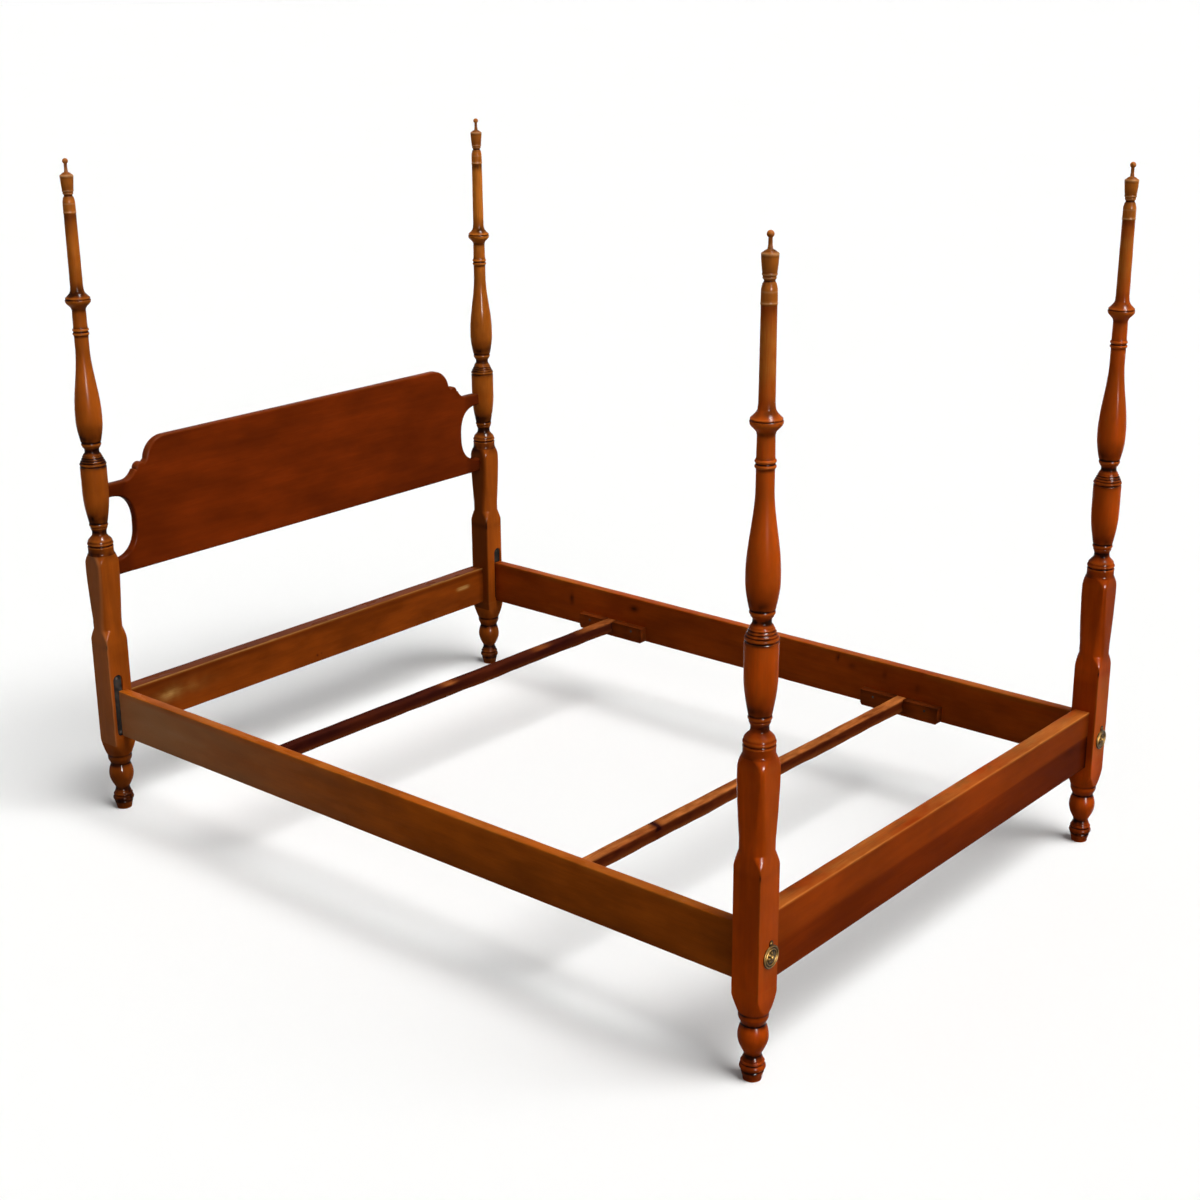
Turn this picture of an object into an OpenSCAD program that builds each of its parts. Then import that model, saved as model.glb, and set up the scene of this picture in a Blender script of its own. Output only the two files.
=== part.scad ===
// Four-post bed in stained maple: four turned posts, a shaped headboard, four rails,
// two loose slats in notched cleats, hooked and bolted side rails.
// X runs across the bed, Y from foot to head, Z up from the floor.

/* [Bed] */
// Distance between the post centre lines across the bed
post_pitch_x = 1390; // [1000:1:1900]
// Distance between the post centre lines along the bed
post_pitch_y = 2010; // [1800:1:2300]
// Side of the square stock of a post
post_w = 64; // [62:1:72]

/* [Post foot] */
// Radius of the pad on the floor
pad_r = 19; // [16:0.5:24]
// Height of the pad with the groove over it
pad_h = 22; // [16:1:30]
// Radius of the bead over the pad
foot_bead_r = 26.5; // [24:0.5:29]
// Height of the bead
foot_bead_h = 14; // [10:1:20]
// Height of the thin ring over the bead
foot_thin_h = 8; // [6:1:12]
// Radius of the waist under the ball
foot_waist_r = 18; // [13:0.5:21]
// Radius of the ball
foot_ball_r = 31; // [27:0.5:36]
// Height of the ball with its waist
foot_ball_h = 81; // [60:1:110]
// Radius of the ring under the square block
foot_ring_r = 31; // [28:0.5:33]
// Height of the ring and the hollow under it
foot_ring_h = 26; // [18:1:36]
// Height of the flare from the ring to the square block
foot_flare_h = 54; // [36:1:80]

/* [Post blocks] */
// Straight height of the lower block, where the rails join
block_h = 240; // [210:1:320]
// Height of the rounded shoulders over the lower block
shoulder_h = 50; // [30:1:70]
// Corner radius at the foot of the upper block
taper_foot_r = 35; // [33:0.5:38]
// Corner radius at the widest of the upper block
taper_top_r = 41; // [38:0.5:45]
// Height of the upper block
taper_h = 201; // [180:1:260]

/* [Post turning] */
// Largest radius of both vases
vase_r = 32.2; // [29:0.2:34]
// Radius of the waists between the turned groups
waist_r = 17.8; // [15:0.2:20]
// Height of the bell from the upper block to its collar
bell_h = 75; // [62:1:95]
// Height of the lower vase
lower_vase_h = 143; // [110:1:170]
// Height of the stepped bell over the lower vase
step_bell_h = 63; // [58:1:90]
// Height of the rise of the upper vase to its widest
vase_rise_h = 63; // [45:1:80]
// Height of the long taper of the upper vase
vase_taper_h = 168; // [130:1:210]
// Radius of the neck over the upper vase
neck_r = 17; // [14:0.1:18]
// Radius of the two thin beads on the neck
neck_bead_r = 19.8; // [18:0.1:22]
// Height of the neck from the upper vase to the knop
neck_h = 91; // [80:1:130]
// Largest radius of the knop
knop_r = 30.5; // [26:0.5:34]
// Height of the knop
knop_h = 49; // [42:1:64]
// Height of the plain shaft over the knop
shaft_h = 179; // [120:1:240]
// Radius of the shaft under the finial
shaft_top_r = 14.4; // [12.5:0.1:15]

/* [Finials] */
// Radius of the finial's lower drum
drum_r = 15.2; // [13:0.1:17]
// Height of the lower drum
drum_h = 24; // [16:1:34]
// Radius of the finial's neck
finial_neck_r = 9.8; // [7:0.1:11]
// Height of the finial's upper cup
cup_h = 32; // [16:1:40]
// Height from the cup to the centre of the ball
ball_rise = 33.3; // [26:0.1:50]
// Radius of the ball on top
ball_r = 6.7; // [5:0.1:9]
// Radius of the dowel under the finial
dowel_r = 5; // [3:0.5:7]
// Length of the dowel
dowel_l = 30; // [15:1:45]
// Clearance round the dowel
dowel_play = 0.05; // [0.02:0.01:0.1]

/* [Rails] */
// Height of the rails' lower edges over the foot of the square block
rail_lift = 3; // [0:1:12]
// Height of the side rails
side_rail_h = 123; // [110:1:140]
// Thickness of the side rails
side_rail_t = 26; // [24:1:32]
// Offset of the left rail's middle from its posts' middle
rail_shift_left = 5; // [0:1:9]
// Offset of the right rail's middle from its posts' middle
rail_shift_right = 15; // [8:1:18]
// Height of the foot rail
foot_rail_h = 146; // [115:1:180]
// Height of the head rail
head_rail_h = 110; // [90:1:150]
// Thickness of the foot and head rails
end_rail_t = 40; // [30:1:46]
// Offset of the foot rail's middle from its posts' middle, toward the bed
foot_rail_in = 4; // [0:1:8]
// Offset of the head rail's middle from its posts' middle, away from the bed
head_rail_out = 9; // [4:1:11]
// Radius of the rails' worn long edges
rail_edge_r = 3; // [1:0.5:6]
// Thickness of the rails' tenons
tenon_t = 13; // [8:1:16]
// Shoulder over and under the tenons
tenon_shoulder = 16; // [8:1:26]
// Length of the foot rail's tenons, which stop short of the bed bolts
foot_tenon_l = 14; // [8:1:15]
// Length of the head rail's tenons
head_tenon_l = 28; // [16:1:34]
// Length of the side rails' stub tenons into the foot posts
stub_l = 9; // [5:1:12]
// Clearance round each tenon in its mortise
tenon_play = 0.2; // [0.1:0.05:0.4]

/* [Headboard] */
// Thickness of the panel
panel_t = 22; // [18:1:26]
// Height of the panel's lower edge over the foot of the upper block
panel_lift = 130; // [118:1:140]
// Height of the panel
panel_h = 330; // [300:1:400]
// Height of the upper arms' level top over the panel's lower edge
arm_top_h = 236; // [220:1:246]
// Height of each upper arm at the post
upper_arm_h = 33; // [26:1:42]
// Height of each lower arm at the post
lower_arm_h = 39; // [30:1:46]
// Depth of the panel's arms in the posts
arm_in = 20; // [12:1:24]
// Depth of the rounded opening beside each post
opening_w = 74; // [50:1:100]
// Length of the level part of each upper arm
arm_flat = 47; // [30:1:70]
// Radius of the hollow sweep over each arm
sweep_r = 38; // [26:1:50]
// Radius of the small lobe between the sweep and the corner
lobe_r = 16; // [10:1:22]
// Radius of the panel's upper corners
crest_r = 61; // [40:1:66]

/* [Slats and cleats] */
// Width of a slat along the bed
slat_w = 28; // [16:1:40]
// Height of a slat
slat_h = 34; // [24:1:38]
// Gap between a slat's end and the side rail
slat_end_gap = 2; // [1:0.5:5]
// Clearance on each side of a slat in its notch
notch_play = 2; // [0.5:0.5:4]
// Distance of the head slat from the head posts' centre line
slat_from_head = 500; // [300:1:600]
// Distance of the foot slat from the foot posts' centre line
slat_from_foot = 525; // [300:1:600]
// How much nearer the head a slat's left end lies than its right
slat_askew = 22; // [0:1:40]
// Length of a cleat
cleat_l = 234; // [220:1:360]
// Height of a cleat
cleat_h = 44; // [44:1:60]
// Thickness of a cleat
cleat_t = 22; // [16:1:30]
// Distance of a cleat's lower edge under the rail's
cleat_drop = 1; // [0:1:10]
// Radius of the ovolo on a cleat's lower corners
cleat_ovolo_r = 5; // [3:1:14]
// Distance from a cleat's middle to each of its screws
cleat_screw_pitch = 78; // [60:1:90]
// Height of the screws over a cleat's lower edge
cleat_screw_up = 30; // [12:1:34]

/* [Hooks] */
// Width of the slot in each head post
slot_w = 28; // [26:1:32]
// Height of the slot over the side rail's top
slot_rise = 44; // [20:1:60]
// Offset of the left slot's middle from its post's middle
slot_shift_left = -8; // [-12:1:-4]
// Offset of the right slot's middle from its post's middle
slot_shift_right = 13; // [6:1:14]
// Depth of the steel socket plate's face in the slot
plate_sink = 5; // [3:0.5:8]
// Thickness of the socket and hook plates
plate_t = 3; // [2:0.5:4]
// Thickness of the hooks
hook_t = 3; // [2:0.5:4]
// Height of a hook's arm
hook_h = 16; // [12:1:20]
// Height of a hook's hanging lip
lip_h = 10; // [6:1:13]
// Depth of a hook's lip behind the socket plate
lip_d = 6; // [4:1:8]
// Height of the lower hook over the rail's lower edge
hook_low = 32; // [30:1:36]
// Distance between the two hooks
hook_pitch = 46; // [42:1:52]

/* [Bed bolts] */
// Height of the bolts over the rails' lower edges
bolt_rise = 68; // [56:1:76]
// Radius of the bolts' shanks
bolt_r = 4; // [3:0.5:5]
// Radius of the bore for each bolt
bore_r = 4.5; // [4.2:0.1:5.5]
// Radius of the recess for each bolt's head
recess_r = 11.5; // [10:0.5:13]
// Depth of the recess
recess_d = 12; // [9:1:16]
// Distance of the barrel nut from the rail's end
nut_in = 50; // [40:1:70]
// Radius of the barrel nuts
nut_r = 7; // [6.5:0.5:9]
// Length of the barrel nuts
nut_l = 18; // [12:1:20]

/* [Bolt covers] */
// Radius of a cover's disc
cover_r = 24.5; // [18:0.5:27]
// Height of the disc's boss over the post's face
cover_proud = 7.3; // [6:0.1:10]
// Offset of both covers from their posts' middle
cover_shift = 7; // [5:0.5:7.5]
// Distance from the disc's centre up to its pivot
pivot_rise = 29; // [27:0.5:36]
// Radius of the tab round the pivot
tab_r = 6; // [5:0.5:8]
// Radius of the pivot screw
pivot_r = 2; // [1.5:0.1:2.5]
// Clearance of a cover round its screw
pivot_play = 0.05; // [0.02:0.01:0.1]

/* [Hidden] */
$fn = 48;

LEFT = -1;
RIGHT = 1;
half_w = post_w / 2;
// A radius outside the square stock's corners, where turning leaves the stock square
square_r = half_w * sqrt(2) + 2;
// Cutters run this far past the faces they open
cut = 1;
// Flat pieces that meet across a joint stay this far apart
face_gap = 0.3;
// Clearance of screws and nuts in their holes
screw_play = 0.05;

// The covers stand proud of the foot posts, so the bed's middle lies a little toward the head
foot_y = (cover_proud - post_pitch_y) / 2;
head_y = foot_y + post_pitch_y;

// Shapes of a turned stretch between its first and last radius
LINE = 0;
EASE = 1;
FULL = 2;
SLACK = 3;
ROUND = 4;

function bend(shape, t) =
    shape == EASE ? (1 - cos(180 * t)) / 2
    : shape == FULL ? sin(90 * t)
    : shape == SLACK ? 1 - cos(90 * t)
    : shape == ROUND ? (t + sin(90 * t)) / 2
    : t;

// A stretch is [height, radius at its end, shape]; short beads take two steps, long curves eight
function steps(stretch) =
    stretch[2] == LINE ? 1
    : abs(stretch[0]) < 7 ? 2
    : max(3, min(8, round(stretch[0] / 9)));

function rise(stretches, n = undef) =
    let (count = is_undef(n) ? len(stretches) : n)
    count == 0 ? 0 : stretches[count - 1][0] + rise(stretches, count - 1);

// Points [radius, height] of stretches stacked from a first radius at height z
function turned(stretches, first_r, z = 0) = [
    [0, z],
    [first_r, z],
    for (i = [0 : len(stretches) - 1])
        let (
            s = stretches[i],
            n = steps(s),
            r = i == 0 ? first_r : stretches[i - 1][1],
            base = z + rise(stretches, i)
        )
        for (k = [1 : n])
            [r + (s[1] - r) * bend(s[2], k / n), base + s[0] * k / n],
    if (stretches[len(stretches) - 1][1] > 0)
        [0, z + rise(stretches)]
];

// A bead of a given height that swells to a radius and comes back to another
function bead(h, r, back_r) = [[h / 2, r, FULL], [h / 2, back_r, SLACK]];

// One stretch between two groups, of the height that they leave of a total
function between(total, r, shape, below, above) =
    [[total - rise(below) - rise(above), r, shape]];

foot_turning = concat(
    [
        [pad_h * 0.36, pad_r + 1, LINE],
        [pad_h * 0.54, pad_r + 4.4, LINE],
        [pad_h * 0.1, pad_r + 3.6, LINE]
    ],
    bead(foot_bead_h, foot_bead_r, foot_bead_r - 2.3),
    [[1, foot_bead_r - 3, LINE]],
    bead(foot_thin_h - 1, foot_bead_r - 2.2, foot_bead_r - 5),
    [
        [foot_ball_h * 0.15, foot_waist_r, EASE],
        [foot_ball_h * 0.05, foot_waist_r + 0.2, LINE],
        [foot_ball_h * 0.46, foot_ball_r, FULL],
        [foot_ball_h * 0.34, foot_ball_r - 6, SLACK],
        [foot_ring_h * 0.7, foot_ring_r - 0.5, EASE],
        [foot_ring_h * 0.3, foot_ring_r, LINE],
        [foot_flare_h, square_r, ROUND]
    ]
);

// The upper block narrows to its foot and is turned off at the top in a quarter round
neck_foot_h = 24;
block_top_h = 51;
block_turning = [
    [block_h, square_r, LINE],
    [shoulder_h, taper_foot_r, SLACK],
    [neck_foot_h, taper_foot_r, LINE],
    [taper_h - neck_foot_h - block_top_h, taper_top_r, ROUND],
    [block_top_h - 31, taper_top_r - 0.3, LINE],
    [28, half_w, SLACK],
    [3, half_w - 0.5, LINE]
];

bell_foot = concat(
    [[10, vase_r - 0.9, LINE]],
    bead(6, vase_r - 0.4, vase_r - 1.8),
    [[1.5, vase_r - 2.2, LINE]],
    bead(8, vase_r - 0.2, vase_r - 1.8),
    [
        [1.5, vase_r - 2.2, LINE],
        [bell_h * 0.25, waist_r + 0.2, EASE],
        [bell_h * 0.07, waist_r, LINE]
    ]
);
bell_collar = concat(
    bead(4, waist_r + 3.4, waist_r + 2.8),
    bead(10, waist_r + 5.3, waist_r + 4.3),
    [[1, waist_r + 3.8, LINE]]
);
bell_turning = concat(
    bell_foot,
    between(bell_h, waist_r + 2.6, SLACK, bell_foot, bell_collar),
    bell_collar
);

vase_turning = [
    [0.8, waist_r + 4.9, LINE],
    [lower_vase_h * 0.55, vase_r - 0.1, FULL],
    [lower_vase_h * 0.45 - 0.8, vase_r, LINE]
];

// A rim, then three rings that step in like a flight of stairs
step_beads = concat(
    [[1.2, vase_r - 1.4, LINE], [1.6, vase_r - 1.4, LINE]],
    bead(7.2, vase_r + 0.3, vase_r - 1.2),
    [[0.8, vase_r - 3, LINE]],
    bead(5.2, vase_r - 2.4, vase_r - 4.8),
    [[0.8, vase_r - 5.6, LINE]],
    bead(5, vase_r - 5.2, vase_r - 7.4),
    [[0.8, vase_r - 8.2, LINE]],
    bead(4.6, vase_r - 7.8, vase_r - 9.6)
);
step_collar = concat(
    [[5, waist_r, LINE], [6, waist_r + 3.7, SLACK], [2, waist_r + 4, LINE]],
    bead(10, waist_r + 6.4, waist_r + 5.4),
    [[1, waist_r + 4.8, LINE], [1, waist_r + 6.8, LINE]]
);
step_turning = concat(
    step_beads,
    between(step_bell_h, waist_r, EASE, step_beads, step_collar),
    step_collar
);

upper_vase_turning = [
    [vase_rise_h - 8, vase_r, FULL],
    [8, vase_r, LINE],
    [vase_taper_h, neck_r, EASE]
];

neck_beads = concat(
    [[2, neck_r + 0.5, LINE]],
    bead(8, neck_bead_r, neck_r + 0.7),
    [[1.5, neck_r + 0.5, LINE]],
    bead(8, neck_bead_r, neck_r + 0.5),
    [[5, neck_r, EASE], [38.5, neck_r - 0.5, LINE]]
);
neck_turning = concat(between(neck_h, neck_r, LINE, [], neck_beads), neck_beads);

knop_foot = [[2, neck_r + 0.2, LINE]];
knop_top = [
    [2.5, knop_r, LINE],
    [1.5, knop_r - 1, SLACK],
    [1, knop_r - 2.2, LINE],
    [1, knop_r - 1, LINE],
    [2, knop_r - 1.2, LINE],
    [19, neck_r - 0.9, FULL]
];
knop_turning = concat(
    knop_foot,
    between(knop_h, knop_r - 0.3, EASE, knop_foot, knop_top),
    knop_top
);

shaft_turning = [
    [8, shaft_top_r + 0.8, LINE],
    [shaft_h - 8, shaft_top_r, LINE]
];

post_turning = concat(
    foot_turning, block_turning, bell_turning, vase_turning, step_turning,
    upper_vase_turning, neck_turning, knop_turning, shaft_turning
);

finial_turning = concat(
    bead(6, drum_r, drum_r - 0.4),
    [
        [drum_h - 6, drum_r - 0.6, LINE],
        [12, drum_r - 2.6, SLACK],
        [6, finial_neck_r, EASE],
        [2, finial_neck_r + 0.4, LINE]
    ],
    bead(6, drum_r - 2.8, drum_r - 3.4),
    bead(6, drum_r - 1.6, drum_r - 2),
    [
        [cup_h, drum_r + 0.7, ROUND],
        [4, drum_r - 4.2, SLACK],
        [5, 4.6, EASE],
        [6, 3.9, SLACK],
        [ball_rise - 15, 3.7, LINE]
    ]
);

block_z = rise(foot_turning);
taper_z = block_z + block_h + shoulder_h;
post_h = rise(post_turning);
rail_z = block_z + rail_lift;
bolt_z = rail_z + bolt_rise;
pivot_z = bolt_z + pivot_rise;
panel_z = taper_z + panel_lift;

function post_x(side) = side * post_pitch_x / 2;
function rail_x(side) = post_x(side) + (side < 0 ? rail_shift_left : rail_shift_right);
function slot_x(side) = post_x(side) + (side < 0 ? slot_shift_left : slot_shift_right);
function inner_x(side) = rail_x(side) - side * side_rail_t / 2;
function cover_x(side) = post_x(side) + cover_shift;

// Each hook stands at its rail's middle, or as near it as the slot's pocket allows
pocket_w = slot_w - 10;
hook_reach = pocket_w / 2 - hook_t / 2 - 0.5;
function hook_x(side) =
    max(slot_x(side) - hook_reach, min(slot_x(side) + hook_reach, rail_x(side)));

// Screws with countersunk heads
flat_head_r = 3.5;
flat_head_h = 2;
flat_shank_r = 2;

// Along -Z, with its head flush at z = 0
module flat_screw(length, play = 0) {
    translate([0, 0, -flat_head_h])
        cylinder(h = flat_head_h, r1 = flat_shank_r + play, r2 = flat_head_r + play);
    translate([0, 0, -length - play])
        cylinder(h = length + play, r = flat_shank_r + play);
}

// A bar along Y with worn edges, between two planes
module bar_y(x, y_from, y_to, z, w, h, edge_r) {
    translate([x, y_to, z])
        rotate([90, 0, 0])
            linear_extrude(y_to - y_from)
                rounded_section(w, h, edge_r);
}

// A bar along X with worn edges, between two planes
module bar_x(x_from, x_to, y, z, w, h, edge_r) {
    translate([x_from, y, z])
        rotate([90, 0, 90])
            linear_extrude(x_to - x_from)
                rounded_section(w, h, edge_r);
}

// A section centred on x = 0 that stands on y = 0
module rounded_section(w, h, edge_r) {
    translate([-w / 2 + edge_r, 0])
        square([w - 2 * edge_r, h]);
    translate([-w / 2, edge_r])
        square([w, h - 2 * edge_r]);
    for (x = [-w / 2 + edge_r, w / 2 - edge_r], y = [edge_r, h - edge_r])
        translate([x, y])
            circle(edge_r);
}

// A block from one corner to another
module block(from, to) {
    translate(from)
        cube(to - from);
}

// A whole post at the origin, before any joint is cut
module post_blank() {
    intersection() {
        rotate_extrude()
            polygon(turned(post_turning, pad_r));
        translate([-half_w, -half_w, 0])
            cube([post_w, post_w, post_h]);
    }
}

module dowel_bore() {
    translate([0, 0, post_h - dowel_l - cut])
        cylinder(h = dowel_l + 2 * cut, r = dowel_r + dowel_play);
}

// The four end rails' tenons as blocks, in the bed's own place; play widens them into mortises
module end_tenon(side, y, rail_h, length, play) {
    x_face = post_x(side) - side * half_w;
    x_tip = x_face + side * (length + play);
    x_root = x_face - side * cut * (play > 0 ? 1 : 0);
    block(
        [min(x_root, x_tip), y - tenon_t / 2 - play, rail_z + tenon_shoulder - play],
        [max(x_root, x_tip), y + tenon_t / 2 + play, rail_z + rail_h - tenon_shoulder + play]
    );
}

module stub_tenon(side, play) {
    y_face = foot_y + half_w;
    block(
        [rail_x(side) - tenon_t / 2 - play, y_face - stub_l - play,
            rail_z + tenon_shoulder - play],
        [rail_x(side) + tenon_t / 2 + play, y_face + (play > 0 ? cut : 0),
            rail_z + side_rail_h - tenon_shoulder + play]
    );
}

foot_rail_y = foot_y + foot_rail_in;
head_rail_y = head_y + head_rail_out;

// Slot for the side rail's hooks, with a narrower pocket behind the socket plate
slot_z = rail_z + 1;
slot_top = rail_z + side_rail_h + slot_rise;
pocket_end = 20;
pocket_d = plate_sink + plate_t + lip_d + 4;
plate_face_y = head_y - half_w + plate_sink;

// A plate with round ends in the XZ plane, from y to y + depth
module round_ended(x, y, z_from, z_to, w, depth) {
    translate([x, y + depth, 0])
        rotate([90, 0, 0])
            linear_extrude(depth) {
                translate([-w / 2, z_from + w / 2])
                    square([w, z_to - z_from - w]);
                for (z = [z_from + w / 2, z_to - w / 2])
                    translate([0, z])
                        circle(w / 2);
            }
}

module slot_cut(side) {
    y_face = head_y - half_w;
    round_ended(slot_x(side), y_face - cut, slot_z, slot_top, slot_w, plate_sink + plate_t + cut);
    block(
        [slot_x(side) - pocket_w / 2, y_face, slot_z + pocket_end],
        [slot_x(side) + pocket_w / 2, y_face + pocket_d, slot_top - pocket_end]
    );
}

socket_screw_l = 18;
module socket_screw_pair(side, play = 0) {
    for (z = [slot_z + pocket_end / 2, slot_top - pocket_end / 2])
        translate([slot_x(side), plate_face_y, z])
            rotate([90, 0, 0])
                flat_screw(socket_screw_l, play);
}

module head_post(side) {
    color("#8a3a10")
        difference() {
            translate([post_x(side), head_y, 0])
                difference() {
                    post_blank();
                    dowel_bore();
                }
            slot_cut(side);
            socket_screw_pair(side, screw_play);
            end_tenon(side, head_rail_y, head_rail_h, head_tenon_l, tenon_play);
            panel_arms(side, tenon_play);
        }
}

bolt_flange_h = 1.5;
bolt_hex_h = 5.5;
bolt_l = post_w - recess_d + nut_in + nut_r + 1;
bolt_seat_y = foot_y - half_w + recess_d;

module bolt_bore(side) {
    translate([rail_x(side), bolt_seat_y, bolt_z])
        rotate([-90, 0, 0]) {
            translate([0, 0, -cut])
                cylinder(h = bolt_l + 6, r = bore_r);
            translate([0, 0, -recess_d - cut])
                cylinder(h = recess_d + cut, r = recess_r);
        }
}

pivot_screw_l = 22;
tab_t = 1.5;
module pivot_shank(side, play = 0) {
    translate([cover_x(side), foot_y - half_w, pivot_z])
        rotate([-90, 0, 0])
            cylinder(h = pivot_screw_l + play, r = pivot_r + play);
}

module foot_post(side) {
    color("#8a3a10")
        difference() {
            translate([post_x(side), foot_y, 0])
                difference() {
                    post_blank();
                    dowel_bore();
                }
            end_tenon(side, foot_rail_y, foot_rail_h, foot_tenon_l, tenon_play);
            stub_tenon(side, tenon_play);
            bolt_bore(side);
            pivot_shank(side, screw_play);
        }
}

// Turned in paler wood, on a dowel in the post's bored top
module finial(side, y) {
    color("#a8692c")
        translate([post_x(side), y, post_h]) {
            rotate_extrude()
                polygon(turned(finial_turning, drum_r - 0.7));
            translate([0, 0, rise(finial_turning)])
                sphere(ball_r);
            translate([0, 0, -dowel_l])
                cylinder(h = dowel_l + cut, r = dowel_r);
        }
}

// Points on an arc round a centre, from one angle to another
function arc(centre, r, from, to, n) = [
    for (k = [0 : n])
        let (a = from + (to - from) * k / n)
        centre + r * [cos(a), sin(a)]
];

// The right half of a rounded opening, squarer than an ellipse, from its top to its foot
function squared_arc(centre, w, h, n) = [
    for (k = [0 : n])
        let (a = 90 + 180 * k / n, c = cos(a), s = sin(a))
        centre + [w * sign(c) * pow(abs(c), 0.8), h * sign(s) * pow(abs(s), 0.8)]
];

sweep_from = 205;
lobe_from = 130;
panel_side_x = post_pitch_x / 2 - half_w;
panel_tip_x = panel_side_x + arm_in;
sweep_c = [panel_side_x - arm_flat, arm_top_h + sweep_r];
sweep_start = sweep_c + sweep_r * [cos(sweep_from), sin(sweep_from)];
lobe_c = [sweep_start[0] - lobe_r - 5, sweep_start[1]];
crest_c = [lobe_c[0] - lobe_r - crest_r - 1, panel_h - crest_r];
opening_c = [panel_side_x + 1, (lower_arm_h + arm_top_h - upper_arm_h) / 2];
opening_h = arm_top_h - upper_arm_h - lower_arm_h;

// From the top's middle round the right side to the lower edge's middle
half_outline = concat(
    [[0, panel_h]],
    arc(crest_c, crest_r, 90, 8, 12),
    arc(lobe_c, lobe_r, lobe_from, 0, 8),
    arc(sweep_c, sweep_r, sweep_from, 270, 8),
    [[panel_tip_x, arm_top_h], [panel_tip_x, arm_top_h - upper_arm_h]],
    squared_arc(opening_c, opening_w, opening_h / 2, 20),
    [[panel_tip_x, lower_arm_h], [panel_tip_x, 0], [0, 0]]
);

left_outline = [
    for (i = [len(half_outline) - 2 : -1 : 1])
        [-half_outline[i][0], half_outline[i][1]]
];

module headboard() {
    color("#6e2a0b")
        translate([0, head_y + panel_t / 2, panel_z])
            rotate([90, 0, 0])
                linear_extrude(panel_t)
                    polygon(concat(half_outline, left_outline));
}

// Housings for the panel's arms in a head post
module panel_arms(side, play) {
    x_tip = post_x(side) - side * (half_w - arm_in - play);
    x_out = post_x(side) - side * post_w;
    y_half = panel_t / 2 + play;
    for (z = [[0, lower_arm_h], [arm_top_h - upper_arm_h, arm_top_h]])
        block(
            [min(x_tip, x_out), head_y - y_half, panel_z + z[0] - play],
            [max(x_tip, x_out), head_y + y_half, panel_z + z[1] + play]
        );
}

module end_rail(y, rail_h, tenon_l) {
    bar_x(post_x(LEFT) + half_w, post_x(RIGHT) - half_w, y, rail_z, end_rail_t, rail_h, rail_edge_r);
    for (side = [LEFT, RIGHT])
        end_tenon(side, y, rail_h, tenon_l, 0);
}

module head_rail() {
    color("#7a4318")
        end_rail(head_rail_y, head_rail_h, head_tenon_l);
}

module foot_rail() {
    color("#8a3a10")
        end_rail(foot_rail_y, foot_rail_h, foot_tenon_l);
}

// Steel plate on a side rail's head end, with two hooks that drop behind the socket plate
hook_plate_w = 18;
hook_plate_foot = 8;
hook_plate_top = 112;
hook_screw_l = 30;
rail_end_y = head_y - half_w;

module hook_plate_block(side, play) {
    block(
        [rail_x(side) - hook_plate_w / 2 - play, rail_end_y - plate_t - play,
            rail_z + hook_plate_foot - play],
        [rail_x(side) + hook_plate_w / 2 + play, rail_end_y + (play > 0 ? cut : 0),
            rail_z + hook_plate_top + play]
    );
}

module hook_screw_row(side, play = 0) {
    for (z = [hook_plate_foot + 6, hook_low + (hook_pitch + hook_h) / 2, hook_plate_top - 6])
        translate([rail_x(side), rail_end_y, rail_z + z])
            rotate([-90, 0, 0])
                flat_screw(hook_screw_l, play);
}

module hook(side, z) {
    back_y = plate_face_y + plate_t + face_gap;
    tip_y = back_y + lip_d;
    x = hook_x(side) - hook_t / 2;
    block([x, rail_end_y - plate_t, z], [x + hook_t, tip_y, z + hook_h]);
    block([x, back_y, z - lip_h], [x + hook_t, tip_y, z + cut]);
}

module hook_plate(side) {
    color("#3a3835") {
        difference() {
            hook_plate_block(side, 0);
            hook_screw_row(side, screw_play);
        }
        for (z = [hook_low, hook_low + hook_pitch])
            hook(side, rail_z + z);
    }
}

// Steel plate in a head post's slot; its windows let the hooks in above their resting height
module socket_plate(side) {
    edge = 0.2;
    x = hook_x(side);
    color("#2e2c2a")
        difference() {
            round_ended(slot_x(side), plate_face_y, slot_z + edge, slot_top - edge,
                slot_w - 2 * edge, plate_t);
            socket_screw_pair(side, screw_play);
            for (z = [hook_low, hook_low + hook_pitch])
                block(
                    [x - hook_t / 2 - face_gap, plate_face_y - cut, rail_z + z],
                    [x + hook_t / 2 + face_gap, plate_face_y + plate_t + cut,
                        rail_z + z + hook_h + lip_h + 1]
                );
        }
}

nut_y = foot_y + half_w + nut_in;
module nut_barrel(side, play, open_to) {
    x_back = rail_x(side) + side * (nut_l / 2 + play);
    x_front = rail_x(side) - side * open_to;
    translate([min(x_back, x_front), nut_y, bolt_z])
        rotate([0, 90, 0])
            cylinder(h = abs(x_back - x_front), r = nut_r + play);
}

module side_rail(side) {
    color("#7d3410")
        difference() {
            union() {
                bar_y(rail_x(side), foot_y + half_w, rail_end_y, rail_z,
                    side_rail_t, side_rail_h, rail_edge_r);
                stub_tenon(side, 0);
            }
            bolt_bore(side);
            nut_barrel(side, screw_play, side_rail_t / 2 + cut);
            hook_plate_block(side, screw_play);
            hook_screw_row(side, screw_play);
            for (end = [LEFT, RIGHT])
                cleat_screw_pair(side, end, screw_play);
        }
}

// A cleat's end is LEFT for the foot slat's and RIGHT for the head slat's
cleat_z = rail_z - cleat_drop;
slat_z = cleat_z + cleat_h - slat_h;
cleat_screw_l = 40;
head_cleat_shift = -8;
foot_cleat_shift = -2;
function slat_y(end) = end < 0 ? foot_y + slat_from_foot : head_y - slat_from_head;
function seat_y(side, end) = slat_y(end) + (side < 0 ? slat_askew : 0);
function cleat_y(side, end) =
    seat_y(side, end) + (end < 0 ? foot_cleat_shift : head_cleat_shift);

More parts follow.
